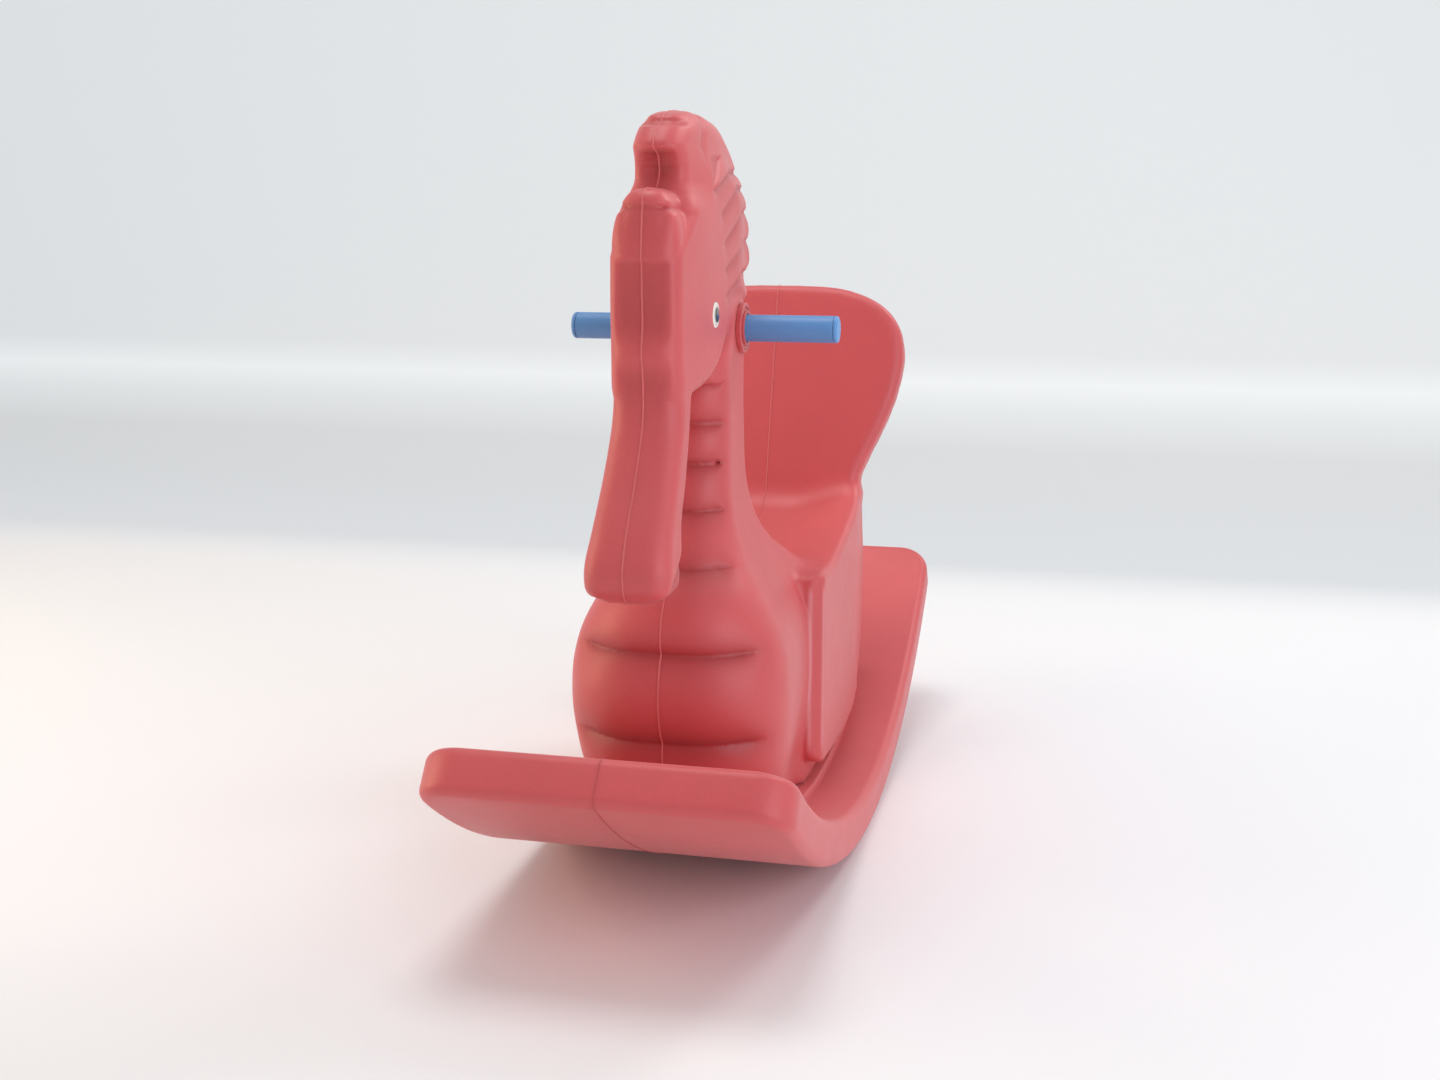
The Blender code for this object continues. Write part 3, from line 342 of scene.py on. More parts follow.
# front of the face over height, and the line that the crest stands back from above the brow
faceFront = [
    (0.440, -0.3010), (0.500, -0.3060), (0.530, -0.3060), (0.562, -0.3045), (0.595, -0.3035), (0.620, -0.302),
]
crestFront = [
    (0.535, -0.3300), (0.566, -0.2950), (0.590, -0.2680), (0.606, -0.2590), (0.628, -0.2560), (0.640, -0.285),
]
jawCrease = [
    (-0.2550, 0.4420), (-0.2280, 0.4444), (-0.1963, 0.4520), (-0.1780, 0.4600), (-0.1620, 0.4710),
    (-0.1480, 0.4830), (-0.1400, 0.4930),
]
# in the settings below, a pair of numbers is where a change starts and where it is complete
headTaper = {
    "noseShare": 0.80, "noseY": -0.307, "noseReach": 0.02, "cheekY": -0.215, "ahead": (0.180, 0.250),
    "frontCrest": 0.34, "frontCrestUp": (0.590, 0.620), "backCrest": 0.31, "backCrestUp": (0.600, 0.662),
    "maneHalf": 0.0160, "maneBack": (-0.115, 0.012), "maneUp": (0.500, 0.530), "maneEarlier": 0.050,
    "maneEarlierUp": (0.600, 0.640), "maneEdge": 0.0060, "maneEdgeBack": (-0.11, -0.03),
}
ribShape = {
    "levels": (0.447, 0.410, 0.375, 0.335, 0.290, 0.224, 0.145, 0.055), "depth": 0.0072, "perHeight": 0.080,
    "softness": 0.10, "sharpness": 0.46, "across": (0.66, 0.98), "back": (0.035, 0.095),
}
maneShape = {
    "depth": 0.0048, "below": 0.0055, "above": 0.0012, "start": 0.012, "back": (-0.060, 0.000), "backShare": 0.4,
}
faceShape = {"half": 0.0284, "springing": 0.565, "rise": 0.0490, "low": 0.520, "back": -0.235, "blend": 0.0020}
crestShape = {
    "slot": 0.0030, "slotLow": (0.6595, 0.6610), "slotHigh": (0.6625, 0.6690), "slotSide": (0.013, 0.022),
    "slotAhead": (0.205, 0.225), "scoop": 0.0085, "scoopLow": (0.6050, 0.6260), "scoopHigh": (0.6380, 0.6430),
    "scoopSide": (0.002, 0.021), "scoopAhead": (0.218, 0.245),
}
browShape = {
    "middle": (0.014, 0.025), "ahead": (0.235, 0.262), "groove": 0.0010, "grooveTop": 0.5985, "grooveDrop": 0.005,
    "grooveHalf": 0.022, "grooveWidth": 0.0020, "grooveSide": (0.019, 0.027), "slope": 0.0026,
    "slopeLow": (0.5560, 0.5900), "slopeHigh": (0.5955, 0.6010), "ledge": 0.0030, "ledgeHigh": (0.5538, 0.5556),
    "ledgeLow": (0.5100, 0.5500),
    "waves": ((0.425, 0.0), (0.460, 0.0042), (0.482, 0.0), (0.508, 0.0050), (0.552, 0.0)),
}
templeShape = {
    "hollow": ((-0.1970, 0.6070), (-0.1890, 0.6372), (-0.1470, 0.6395)), "hollowDepth": 0.0026,
    "hollowEdge": (-0.0030, 0.0008), "parting": ((-0.178, 0.678), (-0.205, 0.645)), "partingDepth": 0.0022,
    "partingWidth": 0.006, "side": (0.006, 0.014),
}
mouthShape = {
    "lipBack": (-0.296, 0.332), "lipFront": (-0.352, 0.2985), "slit": 0.0055, "slitWidth": 0.0022,
    "slitSide": (0.012, 0.024), "slitEnd": (0.80, 1.0), "lip": 0.0024, "lipUnder": (0.0, 0.003),
    "lipSide": (0.014, 0.024), "fold": 0.0022, "foldAt": -0.347, "foldWidth": 0.0018, "foldSide": (0.022, 0.03),
    "foldUp": (0.294, 0.300),
}
muzzleShape = {"low": 0.2895, "edge": 0.014, "high": 0.520, "inset": 0.006, "insetUp": (0.460, 0.515), "join": 0.0040}
hipShape = {
    "front": -0.069, "chamfer": 0.0115, "chamferJoin": 0.0035, "ease": 0.010, "easeBack": (0.120, 0.250),
    "edge": 0.0026, "topEdge": 0.0044, "top": (0.226, 0.248), "join": 0.0025, "topJoin": 0.012,
    "topJoinUp": (0.230, 0.252), "topJoinBack": (-0.02, 0.03),
}
jawShape = {"roll": 0.0034, "rollReach": 0.0075, "throat": 0.0026, "throatReach": 0.0030, "throatSide": (0.016, 0.026)}
trunkShape = {
    "waist": 0.0075, "waistBack": (-0.19, -0.075), "waistUp": (0.170, 0.285), "neckTop": 0.545, "neckInset": 0.008,
    "neckInsetUp": (0.505, 0.535), "rumpJoin": 0.020, "headJoin": 0.003, "footJoin": 0.004,
}
seatShape = {
    "high": 0.240, "edge": 0.010, "dish": 0.012, "dishSide": (0.030, 0.096), "dishUp": (0.235, 0.250),
    "backrestJoin": 0.018,
}
screwBoss = {"height": 0.489, "radius": 0.0085, "back": -0.065, "front": -0.100, "edge": 0.0012, "join": 0.002}


def closedCurve(points, steps):
    # closed Catmull-Rom curve through the points
    p = np.array(points, float)
    made = []
    for i in range(len(p)):
        a, b, c, d = p[i - 1], p[i], p[(i + 1) % len(p)], p[(i + 2) % len(p)]
        for t in np.arange(steps) / steps:
            made.append(0.5 * (2 * b + (c - a) * t + (2 * a - 5 * b + 4 * c - d) * t ** 2
                               + (3 * b - a - 3 * c + d) * t ** 3))
    return np.array(made)


def segmentDistance(u, v, a, b):
    # squared distance to a segment, and how far along it the nearest point lies
    du, dv = b[0] - a[0], b[1] - a[1]
    along = np.clip(((u - a[0]) * du + (v - a[1]) * dv) / (du * du + dv * dv), 0, 1)
    return (u - a[0] - du * along) ** 2 + (v - a[1] - dv * along) ** 2, along


def outlineGrid(outline, margin=0.05, spacing=0.0012):
    # signed distance to a closed outline, negative inside, kept on a grid
    low = outline.min(0) - margin
    count = np.ceil((outline.max(0) + margin - low) / spacing).astype(int) + 1
    across, up = [low[k] + np.arange(count[k]) * spacing for k in (0, 1)]
    u, v = np.meshgrid(across, up, indexing="ij")
    nearest = np.full(u.shape, 1.0)
    inside = np.zeros(u.shape, bool)
    for a, b in zip(outline, np.roll(outline, -1, axis=0)):
        nearest = np.minimum(nearest, segmentDistance(u, v, a, b)[0])
        if a[1] != b[1]:
            crossing = a[0] + (v - a[1]) * (b[0] - a[0]) / (b[1] - a[1])
            inside ^= ((a[1] > v) != (b[1] > v)) & (u < crossing)
    return {"low": low, "spacing": spacing, "values": np.where(inside, -1, 1) * np.sqrt(nearest)}


def readGrid(grid, u, v):
    values = grid["values"]
    gu = np.clip((u - grid["low"][0]) / grid["spacing"], 0, values.shape[0] - 1.001)
    gv = np.clip((v - grid["low"][1]) / grid["spacing"], 0, values.shape[1] - 1.001)
    iu, iv = gu.astype(int), gv.astype(int)
    fu, fv = gu - iu, gv - iv
    return ((values[iu, iv] * (1 - fu) + values[iu + 1, iv] * fu) * (1 - fv)
            + (values[iu, iv + 1] * (1 - fu) + values[iu + 1, iv + 1] * fu) * fv)


def sectionTable(sections, halfWidths):
    # smooth curves through the sections' values, as one table over height
    rows = sorted((z, f, b, w, rf, rb) for (z, f, b, _, rf, rb), w in zip(sections, halfWidths))
    keys = np.array(rows)
    levels = np.linspace(keys[0, 0], keys[-1, 0], 300)
    slopes = np.gradient(keys, keys[:, 0], axis=0)
    i = np.clip(np.searchsorted(keys[:, 0], levels) - 1, 0, len(keys) - 2)
    step = (keys[i + 1, 0] - keys[i, 0])[:, None]
    t = ((levels - keys[i, 0]) / step[:, 0])[:, None]
    curve = ((2 * t ** 3 - 3 * t ** 2 + 1) * keys[i] + (t ** 3 - 2 * t ** 2 + t) * step * slopes[i]
             + (3 * t ** 2 - 2 * t ** 3) * keys[i + 1] + (t ** 3 - t ** 2) * step * slopes[i + 1])
    return {"levels": levels, "curve": curve}


def fade(value, start, end):
    t = np.clip((value - start) / (end - start), 0, 1)
    return t * t * (3 - 2 * t)


def bump(value, middle, width):
    return np.exp(-((value - middle) / width) ** 2)


def smoothUnion(a, b, blend):
    h = np.maximum(blend - np.abs(a - b), 0) / blend
    return np.minimum(a, b) - h * h * blend / 4


def smoothCut(a, b, blend):
    return -smoothUnion(-a, -b, blend)


def roundedPair(a, b, radius):
    # where two faces meet, their edge is rounded
    a, b = a + radius, b + radius
    return np.minimum(np.maximum(a, b), 0) + np.hypot(np.maximum(a, 0), np.maximum(b, 0)) - radius


def sectionForm(table, x, y, z):
    front, back, half, frontRadius, backRadius = [
        np.interp(z, table["levels"], table["curve"][:, k]) for k in range(1, 6)
    ]
    middle = (front + back) / 2
    depth = (back - front) / 2
    radius = np.minimum(np.where(y < middle, frontRadius, backRadius), np.minimum(half, depth) * 0.97)
    return roundedPair(np.abs(y - middle) - depth, np.abs(x) - half, radius)


shape = bodyShape
neckToFlank = shape["flankHalf"] - shape["neckHalf"]
footToFlank = shape["flankHalf"] - shape["footHalf"]
tables = {
    "trunk": sectionTable(trunkSections, [shape["neckHalf"] + neckToFlank * s[3] for s in trunkSections]),
    "rump": sectionTable(rumpSections, [shape["footHalf"] + footToFlank * s[3] for s in rumpSections]),
    "snout": sectionTable(snoutSections, [shape["snoutHalf"] * s[3] for s in snoutSections]),
}
panelScale = 1 / math.cos(shape["backrestLean"])
panelRight = [(a * shape["backrestHalf"], u * panelScale) for a, u in backrestOutline]
panelOutline = closedCurve(panelRight + [(-a, u) for a, u in reversed(panelRight) if a], 5)
headCurve = closedCurve(headOutline, 5)
hipCurve = closedCurve(hipOutline, 5)
grids = {"head": outlineGrid(headCurve), "hip": outlineGrid(hipCurve), "panel": outlineGrid(panelOutline)}


def headHalf(y, z):
    # half width of the head: full at the neck, less at the nose, the crest and the mane
    taper = headTaper
    toNose = fade(-y, -taper["cheekY"], -taper["noseY"] + taper["noseReach"])
    half = shape["neckHalf"] * (1 - (1 - taper["noseShare"]) * toNose)
    ahead = fade(-y, *taper["ahead"])
    crest = 1 - taper["frontCrest"] * fade(z, *taper["frontCrestUp"]) * ahead
    crest = crest - taper["backCrest"] * fade(z, *taper["backCrestUp"]) * (1 - ahead)
    mane = fade(y + taper["maneEarlier"] * fade(z, *taper["maneEarlierUp"]), *taper["maneBack"])
    mane = mane * fade(z, *taper["maneUp"])
    return half * crest * (1 - mane) + taper["maneHalf"] * mane


def ribDepth(x, y, z):
    # soft segments up the belly and the neck, with a crease between each two
    size = ribShape
    levels = sorted(size["levels"])
    depth = np.zeros(len(z))
    for low, high in zip(levels, levels[1:]):
        u = np.clip((z - low) / (high - low), 0, 1)
        within = (z >= low) & (z < high)
        most = size["depth"] + size["perHeight"] * (high - low)
        swell = (4 * u * (1 - u) + size["softness"]) / (1 + size["softness"])
        depth = np.where(within, most * (1 - swell ** size["sharpness"]), depth)
    half = np.interp(z, tables["trunk"]["levels"], tables["trunk"]["curve"][:, 3])
    front = np.interp(z, tables["trunk"]["levels"], tables["trunk"]["curve"][:, 1])
    across = 1 - fade(np.abs(x) / half, *size["across"])
    ahead = 1 - fade(y - front, *size["back"])
    return depth * across * ahead


def maneDepth(y, z):
    # each lock starts from under the one above it, and dies out towards the cheek
    size = maneShape
    depth = np.zeros(len(z))
    for line in maneCreases:
        height = np.interp(y, *zip(*line))
        strength = fade(y, line[0][0] - size["start"], line[0][0] + size["start"])
        strength = strength * (1 - size["backShare"] * fade(y, *size["back"]))
        below = size["depth"] * np.exp(-np.maximum(height - z, 0) / size["below"])
        above = size["depth"] * np.exp(-np.maximum(z - height, 0) / size["above"])
        depth = np.maximum(depth, np.where(z < height, below, above) * strength)
    return depth


def polylineDistance(y, z, points):
    nearest = np.full(len(y), 1.0)
    for a, b in zip(points, points[1:]):
        nearest = np.minimum(nearest, segmentDistance(y, z, a, b)[0])
    return np.sqrt(nearest)


def faceForm(side, y, z):
    # upright face with an arched top, which the crest stands behind
    face = faceShape
    arch = (np.hypot(side / face["half"], np.maximum(z - face["springing"], 0) / face["rise"]) - 1) * face["half"]
    block = roundedPair(np.interp(z, *zip(*faceFront)) - y, arch, shape["headEdge"])
    return np.maximum(np.maximum(block, face["low"] - z), y - face["back"])


def headForm(side, y, z):
    plate = readGrid(grids["head"], y, z)
    plate = np.maximum(plate, np.interp(z, *zip(*crestFront)) - y)
    toMane = fade(y, *headTaper["maneEdgeBack"])
    radius = shape["headEdge"] * (1 - toMane) + headTaper["maneEdge"] * toMane
    head = roundedPair(plate, side - headHalf(y, z), radius)
    return smoothUnion(head, faceForm(side, y, z), faceShape["blend"])


def crestDepth(side, y, z):
    # slot in the front of the crest, and a scoop under its sharp lip
    size = crestShape
    slot = size["slot"] * (fade(z, *size["slotLow"]) - fade(z, *size["slotHigh"]))
    slot = slot * (1 - fade(side, *size["slotSide"])) * fade(-y, *size["slotAhead"])
    scoop = size["scoop"] * fade(z, *size["scoopLow"]) * (1 - fade(z, *size["scoopHigh"]))
    scoop = scoop * (1 - fade(side, *size["scoopSide"])) * fade(-y, *size["scoopAhead"])
    return slot + scoop


def browDepth(side, y, z):
    # arched groove under the brow, then a slope down to a thin ledge, and soft waves under it
    size = browShape
    arch = size["grooveTop"] - size["grooveDrop"] * (side / size["grooveHalf"]) ** 2
    groove = size["groove"] * bump(z, arch, size["grooveWidth"]) * (1 - fade(side, *size["grooveSide"]))
    slope = size["slope"] * fade(z, *size["slopeLow"]) * (1 - fade(z, *size["slopeHigh"]))
    ledge = size["ledge"] * (1 - fade(z, *size["ledgeHigh"])) * fade(z, *size["ledgeLow"])
    wave = np.interp(z, *zip(*smoothKnots(size["waves"])))
    middle = 1 - fade(side, *size["middle"])
    return ((slope + ledge + wave) * middle + groove) * fade(-y, *size["ahead"])


def templeDepth(side, y, z):
    # pointed hollow ahead of the first lock, and the parting behind the crest
    size = templeShape
    hollow = size["hollowDepth"] * (1 - fade(triangleDistance(y, z, *size["hollow"]), *size["hollowEdge"]))
    away = segmentDistance(y, z, *size["parting"])[0]
    parting = size["partingDepth"] * np.exp(-away / size["partingWidth"] ** 2)
    return (hollow + parting) * fade(side, *size["side"])


def headDepth(side, y, z):
    return crestDepth(side, y, z) + browDepth(side, y, z) + templeDepth(side, y, z)


def smoothKnots(knots):
    # an eased curve through (place, depth) pairs
    made = []
    for (a, da), (b, db) in zip(knots, knots[1:]):
        for t in np.arange(8) / 8:
            made.append((a + (b - a) * t, da + (db - da) * t * t * (3 - 2 * t)))
    return made + [knots[-1]]


def triangleDistance(y, z, a, b, c):
    # rough signed distance to a triangle, negative inside
    sides = []
    middle = ((a[0] + b[0] + c[0]) / 3, (a[1] + b[1] + c[1]) / 3)
    for p, q in ((a, b), (b, c), (c, a)):
        normal = (q[1] - p[1], p[0] - q[0])
        length = math.hypot(*normal)
        turn = -1 if (middle[0] - p[0]) * normal[0] + (middle[1] - p[1]) * normal[1] > 0 else 1
        sides.append(((y - p[0]) * normal[0] + (z - p[1]) * normal[1]) * turn / length)
    return np.maximum(np.maximum(sides[0], sides[1]), sides[2])


def mouthDepth(side, y, z):
    # slit along the side of the muzzle, with the lower lip set in a little
    size = mouthShape
    back, front = size["lipBack"], size["lipFront"]
    nearest, along = segmentDistance(y, z, back, front)
    below = (z - back[1]) - (y - back[0]) * (front[1] - back[1]) / (front[0] - back[0])
    slit = size["slit"] * np.exp(-np.sqrt(nearest) / size["slitWidth"])
    slit = slit * fade(side, *size["slitSide"]) * (1 - fade(along, *size["slitEnd"]))
    lip = size["lip"] * fade(-below, *size["lipUnder"]) * fade(side, *size["lipSide"])
    fold = size["fold"] * bump(y, size["foldAt"], size["foldWidth"])
    fold = fold * (1 - fade(side, *size["foldSide"])) * (1 - fade(z, *size["foldUp"]))
    return slit + lip + fold


def hipForm(side, y, z):
    # flat panel with a chamfer down its front edge, easing in at the back
    size = hipShape
    half = shape["hipHalf"] - size["ease"] * fade(y, *size["easeBack"])
    edge = size["edge"] + size["topEdge"] * fade(z, *size["top"])
    chamfer = (side - half + size["chamfer"] - y + size["front"]) / math.sqrt(2)
    panel = roundedPair(readGrid(grids["hip"], y, z), side - half, edge)
    return smoothCut(panel, chamfer, size["chamferJoin"])


def backrestForm(x, y, z):
    # upright panel that leans back
    lean = shape["backrestLean"]
    middle = shape["backrestBase"] + shape["backrestThickness"] / 2 * panelScale
    up = z * math.cos(lean) + (y - middle) * math.sin(lean)
    through = (y - middle) * math.cos(lean) - z * math.sin(lean)
    flat = np.abs(through) - shape["backrestThickness"] / 2
    return roundedPair(readGrid(grids["panel"], x, up), flat, shape["backrestEdge"])


def upperForm(x, side, y, z, crease):
    # head with its muzzle; the cheek rolls down to a crease along the jaw
    head = headForm(side, y, z) + headDepth(side, y, z) + maneDepth(y, z)
    head = head + jawShape["roll"] * np.exp(-crease / jawShape["rollReach"])
    size = muzzleShape
    muzzle = roundedPair(sectionForm(tables["snout"], x, y, z), size["low"] - z, size["edge"])
    muzzle = np.maximum(muzzle + size["inset"] * fade(z, *size["insetUp"]), z - size["high"])
    return smoothUnion(head, muzzle + mouthDepth(side, y, z), size["join"])


def lowerForm(x, side, y, z, crease):
    # neck and belly in one, the rump, the hips and the backrest
    size = trunkShape
    trunk = sectionForm(tables["trunk"], x, y, z)
    waist = size["waist"] * fade(y, *size["waistBack"])
    trunk = trunk + waist * (1 - fade(z, *size["waistUp"])) + ribDepth(x, y, z)
    trunk = trunk + jawShape["throat"] * np.exp(-crease / jawShape["throatReach"]) * fade(side, *jawShape["throatSide"])
    trunk = np.maximum(trunk + size["neckInset"] * fade(z, *size["neckInsetUp"]), z - size["neckTop"])
    seat = seatShape
    rump = roundedPair(sectionForm(tables["rump"], x, y, z), z - seat["high"], seat["edge"])
    dish = seat["dish"] * (1 - fade(side, *seat["dishSide"])) * fade(z, *seat["dishUp"])
    hip = hipShape
    join = hip["join"] + hip["topJoin"] * fade(z, *hip["topJoinUp"]) * (1 - fade(y, *hip["topJoinBack"]))
    lower = smoothUnion(trunk, rump, size["rumpJoin"])
    lower = smoothUnion(lower, hipForm(side, y, z) + dish, join)
    return smoothUnion(lower, backrestForm(x, y, z), seat["backrestJoin"])


def bodyDistance(p):
    # signed distance to the outside of the whole moulding, close to true near its surface
    x, y, z = p[:, 0], p[:, 1], p[:, 2]
    side = np.abs(x)
    crease = polylineDistance(y, z, jawCrease)
    upper = upperForm(x, side, y, z, crease)
    whole = smoothUnion(upper, lowerForm(x, side, y, z, crease), trunkShape["headJoin"])
    size = screwBoss
    boss = roundedPair(np.hypot(x, z - size["height"]) - size["radius"], y - size["back"], size["edge"])
    boss = np.maximum(boss, size["front"] - y)
    whole = smoothUnion(whole, boss, size["join"])
    arc = np.hypot(y, z - shape["arcCentre"]) - (shape["arcRadius"] - shape["foot"])
    return smoothCut(whole, arc, trunkShape["footJoin"])


settling = {"step": 0.0002, "reach": 0.006, "lastReach": 0.0015, "lastRounds": 2, "leastSlope": 0.25, "evenness": 0.5}


def settle(points, rounds, reach):
    # moves points onto the body's surface
    step = settling["step"]
    for _ in range(rounds):
        value = bodyDistance(points)
        slope = np.stack([(bodyDistance(points + step * axis) - value) / step for axis in np.eye(3)], axis=1)
        size = np.maximum((slope ** 2).sum(1), settling["leastSlope"])
        points = points - np.clip(value / size, -reach, reach)[:, None] * slope
    return points


def relax(mesh, points, share):
    # evens out the spacing of the vertices
    edges = np.empty(len(mesh.edges) * 2, np.int32)
    mesh.edges.foreach_get("vertices", edges)
    edges = edges.reshape(-1, 2)
    total = np.zeros_like(points)
    count = np.zeros(len(points))
    for a, b in ((0, 1), (1, 0)):
        np.add.at(total, edges[:, a], points[edges[:, b]])
        np.add.at(count, edges[:, a], 1)
    return points + share * (total / count[:, None] - points)


def settleMesh(mesh, relaxes, rounds):
    points = np.empty(len(mesh.vertices) * 3, np.float32)
    mesh.vertices.foreach_get("co", points)
    points = points.reshape(-1, 3).astype(float)
    for _ in range(relaxes):
        points = settle(relax(mesh, points, settling["evenness"]), 1, settling["reach"])
    points = settle(points, rounds, settling["reach"])
    points = settle(points, settling["lastRounds"], settling["lastReach"])
    mesh.vertices.foreach_set("co", points.astype(np.float32).ravel())
    mesh.update()


def addPlate(bm, outline, halfWidth, place):
    # one face of the outline, drawn across the width
    verts = [bm.verts.new(place @ Vector((-halfWidth, u, v))) for u, v in outline]
    face = bm.faces.new(verts)
    made = bmesh.ops.extrude_face_region(bm, geom=[face])["geom"]
    moved = [g for g in made if isinstance(g, bmesh.types.BMVert)]
    bmesh.ops.translate(bm, verts=moved, vec=place.to_3x3() @ Vector((2 * halfWidth, 0, 0)))


def addLoft(bm, table, low, high):
    # rings between two heights, bridged and capped
    levels = np.linspace(low, high, 14)
    rings = []
    for level in levels:
        front, back, half = [np.interp(level, table["levels"], table["curve"][:, k]) for k in (1, 2, 3)]
        ring = bmesh.ops.create_circle(bm, cap_ends=False, segments=32, radius=1.0)["verts"]
        for v in ring:
            squarer = 1 / max(abs(v.co.x), abs(v.co.y)) ** 0.55
            v.co = ((v.co.x * squarer) * half, (front + back) / 2 + v.co.y * squarer * (back - front) / 2, level)
        rings.append(ring)
    loops = [[e for e in bm.edges if e.verts[0] in set(ring) and e.verts[1] in set(ring)] for ring in rings]
    for lower, upper in zip(loops, loops[1:]):
        bmesh.ops.bridge_loops(bm, edges=lower + upper)
    bmesh.ops.edgeloop_fill(bm, edges=loops[0])
    bmesh.ops.edgeloop_fill(bm, edges=loops[-1])


def roughForm(name, build, *settings):
    bm = bmesh.new()
    build(bm, *settings)
    return newObject(name, meshFromBmesh(name, bm))


def clipToArc(obj):
    # takes off what hangs below the arc that the body stands on
    bm = bmesh.new()
    axle = Matrix.Translation((0, 0, shape["arcCentre"])) @ Matrix.Rotation(math.pi / 2, 4, "Y")
    cylinderAlong(bm, axle, shape["arcRadius"] - shape["foot"], -0.3, 0.3, 360)
    return combine(obj, newObject("arcCutter", meshFromBmesh("arcCutter", bm)), "INTERSECT")


# heights between which the lofts run, and half widths of the plates, before anything is settled
roughSizes = {"trunk": (0.0, 0.515), "rump": (0.0, 0.246), "snout": (0.292, 0.515), "head": 0.027, "hipInset": 0.001}


def roughBody():
    size = roughSizes
    lean = shape["backrestLean"]
    middle = shape["backrestBase"] + shape["backrestThickness"] / 2 * panelScale
    panelTurn = Matrix.Translation((0, middle, 0)) @ Matrix.Rotation(-lean, 4, "X")
    panelPlace = panelTurn @ Matrix(((0, 1, 0, 0), (1, 0, 0, 0), (0, 0, 1, 0), (0, 0, 0, 1)))
    flat = Matrix.Identity(4)
    forms = [
        clipToArc(roughForm("roughTrunk", addLoft, tables["trunk"], *size["trunk"])),
        clipToArc(roughForm("roughRump", addLoft, tables["rump"], *size["rump"])),
        roughForm("roughSnout", addLoft, tables["snout"], *size["snout"]),
        roughForm("roughHead", addPlate, headCurve, size["head"], flat),
        roughForm("roughHip", addPlate, hipCurve, shape["hipHalf"] - size["hipInset"], flat),
        roughForm("roughPanel", addPlate, panelOutline, shape["backrestThickness"] / 2, panelPlace),
    ]
    joined = bmesh.new()
    for form in forms:
        joined.from_mesh(form.data)
        bpy.data.objects.remove(form, do_unlink=True)
    mesh = bpy.data.meshes.new("body_skin")
    joined.to_mesh(mesh)
    joined.free()
    return evenMesh(newObject("body_skin", mesh))


def evenMesh(obj):
    remesh = obj.modifiers.new("voxels", "REMESH")
    remesh.mode = "VOXEL"
    remesh.voxel_size = shape["coarse"]
    return applyModifiers(obj)


def refine(mesh, wanted):
    # splits the faces whose middles are in the region
    bm = bmesh.new()
    bm.from_mesh(mesh)
    edges = set()
    for face in bm.faces:
        if wanted(face.calc_center_median()):
            edges.update(face.edges)
    bmesh.ops.subdivide_edges(bm, edges=list(edges), cuts=1, use_grid_fill=True)
    bm.to_mesh(mesh)
    bm.free()


# (low, high) of |x|, y and z: where the skin is split once, and where it is split again
fineBoxes = {
    "head": ((-1, 1), (-1, 0.05), (0.425, 1)), "muzzle": ((-1, 1), (-1, -0.285), (0.28, 0.345)),
    "hipFront": ((0.08, 1), (-0.080, -0.048), (0.07, 0.26)), "ribs": ((-1, 0.085), (-0.28, -0.14), (0.10, 0.425)),
}
finerBoxes = {
    "hipFront": ((0.088, 1), (-0.074, -0.050), (0.07, 0.265)), "face": ((-1, 1), (-1, -0.235), (0.540, 1)),
    "screwBoss": ((-1, 0.016), (-0.09, -0.05), (0.472, 0.506)),
}
maneBox = ((0.004, 1), (-0.205, 0.026), (0.505, 1))
hollowBox = ((-1, 1), (-0.205, -0.140), (0.603, 0.642))
ribBox = ((-1, 0.075), (-1, -0.12), (-1, 1))
splitting = {"hipSide": 0.084, "hipRim": 0.008, "underCrease": 0.0040, "overCrease": 0.0030, "ribRim": 0.004, "ribs": 7}


def inBox(c, box):
    return all(low < value < high for value, (low, high) in zip((abs(c.x), c.y, c.z), box))


def wantsSplit(c):
    if any(inBox(c, box) for box in fineBoxes.values()):
        return True
    return abs(c.x) > splitting["hipSide"] and abs(readGrid(grids["hip"], c.y, c.z)) < splitting["hipRim"]


def nearCrease(y, z):
    under, over = -splitting["underCrease"], splitting["overCrease"]
    return any(under < z - np.interp(y, *zip(*line)) < over for line in maneCreases)


def wantsFiner(c):
    if any(inBox(c, box) for box in finerBoxes.values()):
        return True
    if inBox(c, maneBox) and (inBox(c, hollowBox) or nearCrease(c.y, c.z)):
        return True
    ribs = ribShape["levels"][:splitting["ribs"]]
    return inBox(c, ribBox) and min(abs(c.z - rib) for rib in ribs) < splitting["ribRim"]


def makeBody():
    skin = roughBody()
    print("body blocked out:", len(skin.data.vertices))
    settleMesh(skin.data, 6, 3)
    evenMesh(skin)
    settleMesh(skin.data, 4, 3)
    refine(skin.data, wantsSplit)
    settleMesh(skin.data, 2, 2)
    refine(skin.data, wantsFiner)
    settleMesh(skin.data, 1, 3)
    print("body settled:", len(skin.data.vertices), "vertices")
    return skin


# seats in the body, and the pieces that sit in them
fittings = {
    "gap": 0.0003, "eyeRadius": 0.0110, "eyeSeat": 0.0015, "eyeStem": 0.0030, "eyeStemLength": 0.0140,
    "eyeY": -0.200, "eyeZ": 0.507, "bushWall": 0.0028, "barClearance": 0.0008, "bushSink": 0.0010,
    "pinRadius": 0.0025, "pinHead": 0.0045, "pinHeadHeight": 0.0028, "insertRadius": 0.0055,
    "insertLength": 0.0150, "insertOpen": 0.004, "sideReach": 0.06, "eyeReach": 0.02, "eyeHoleReach": 0.01,
    "backReach": -0.05, "pinReach": -0.06,
}


def eyePlace(sign):
    # frame on the side of the head: +Z looks out square to it
    turn = Matrix.Rotation(math.radians(90 * sign), 4, "Y")
    out = shape["neckHalf"] - fittings["eyeSeat"]
    return Matrix.Translation((sign * out, fittings["eyeY"], fittings["eyeZ"])) @ turn


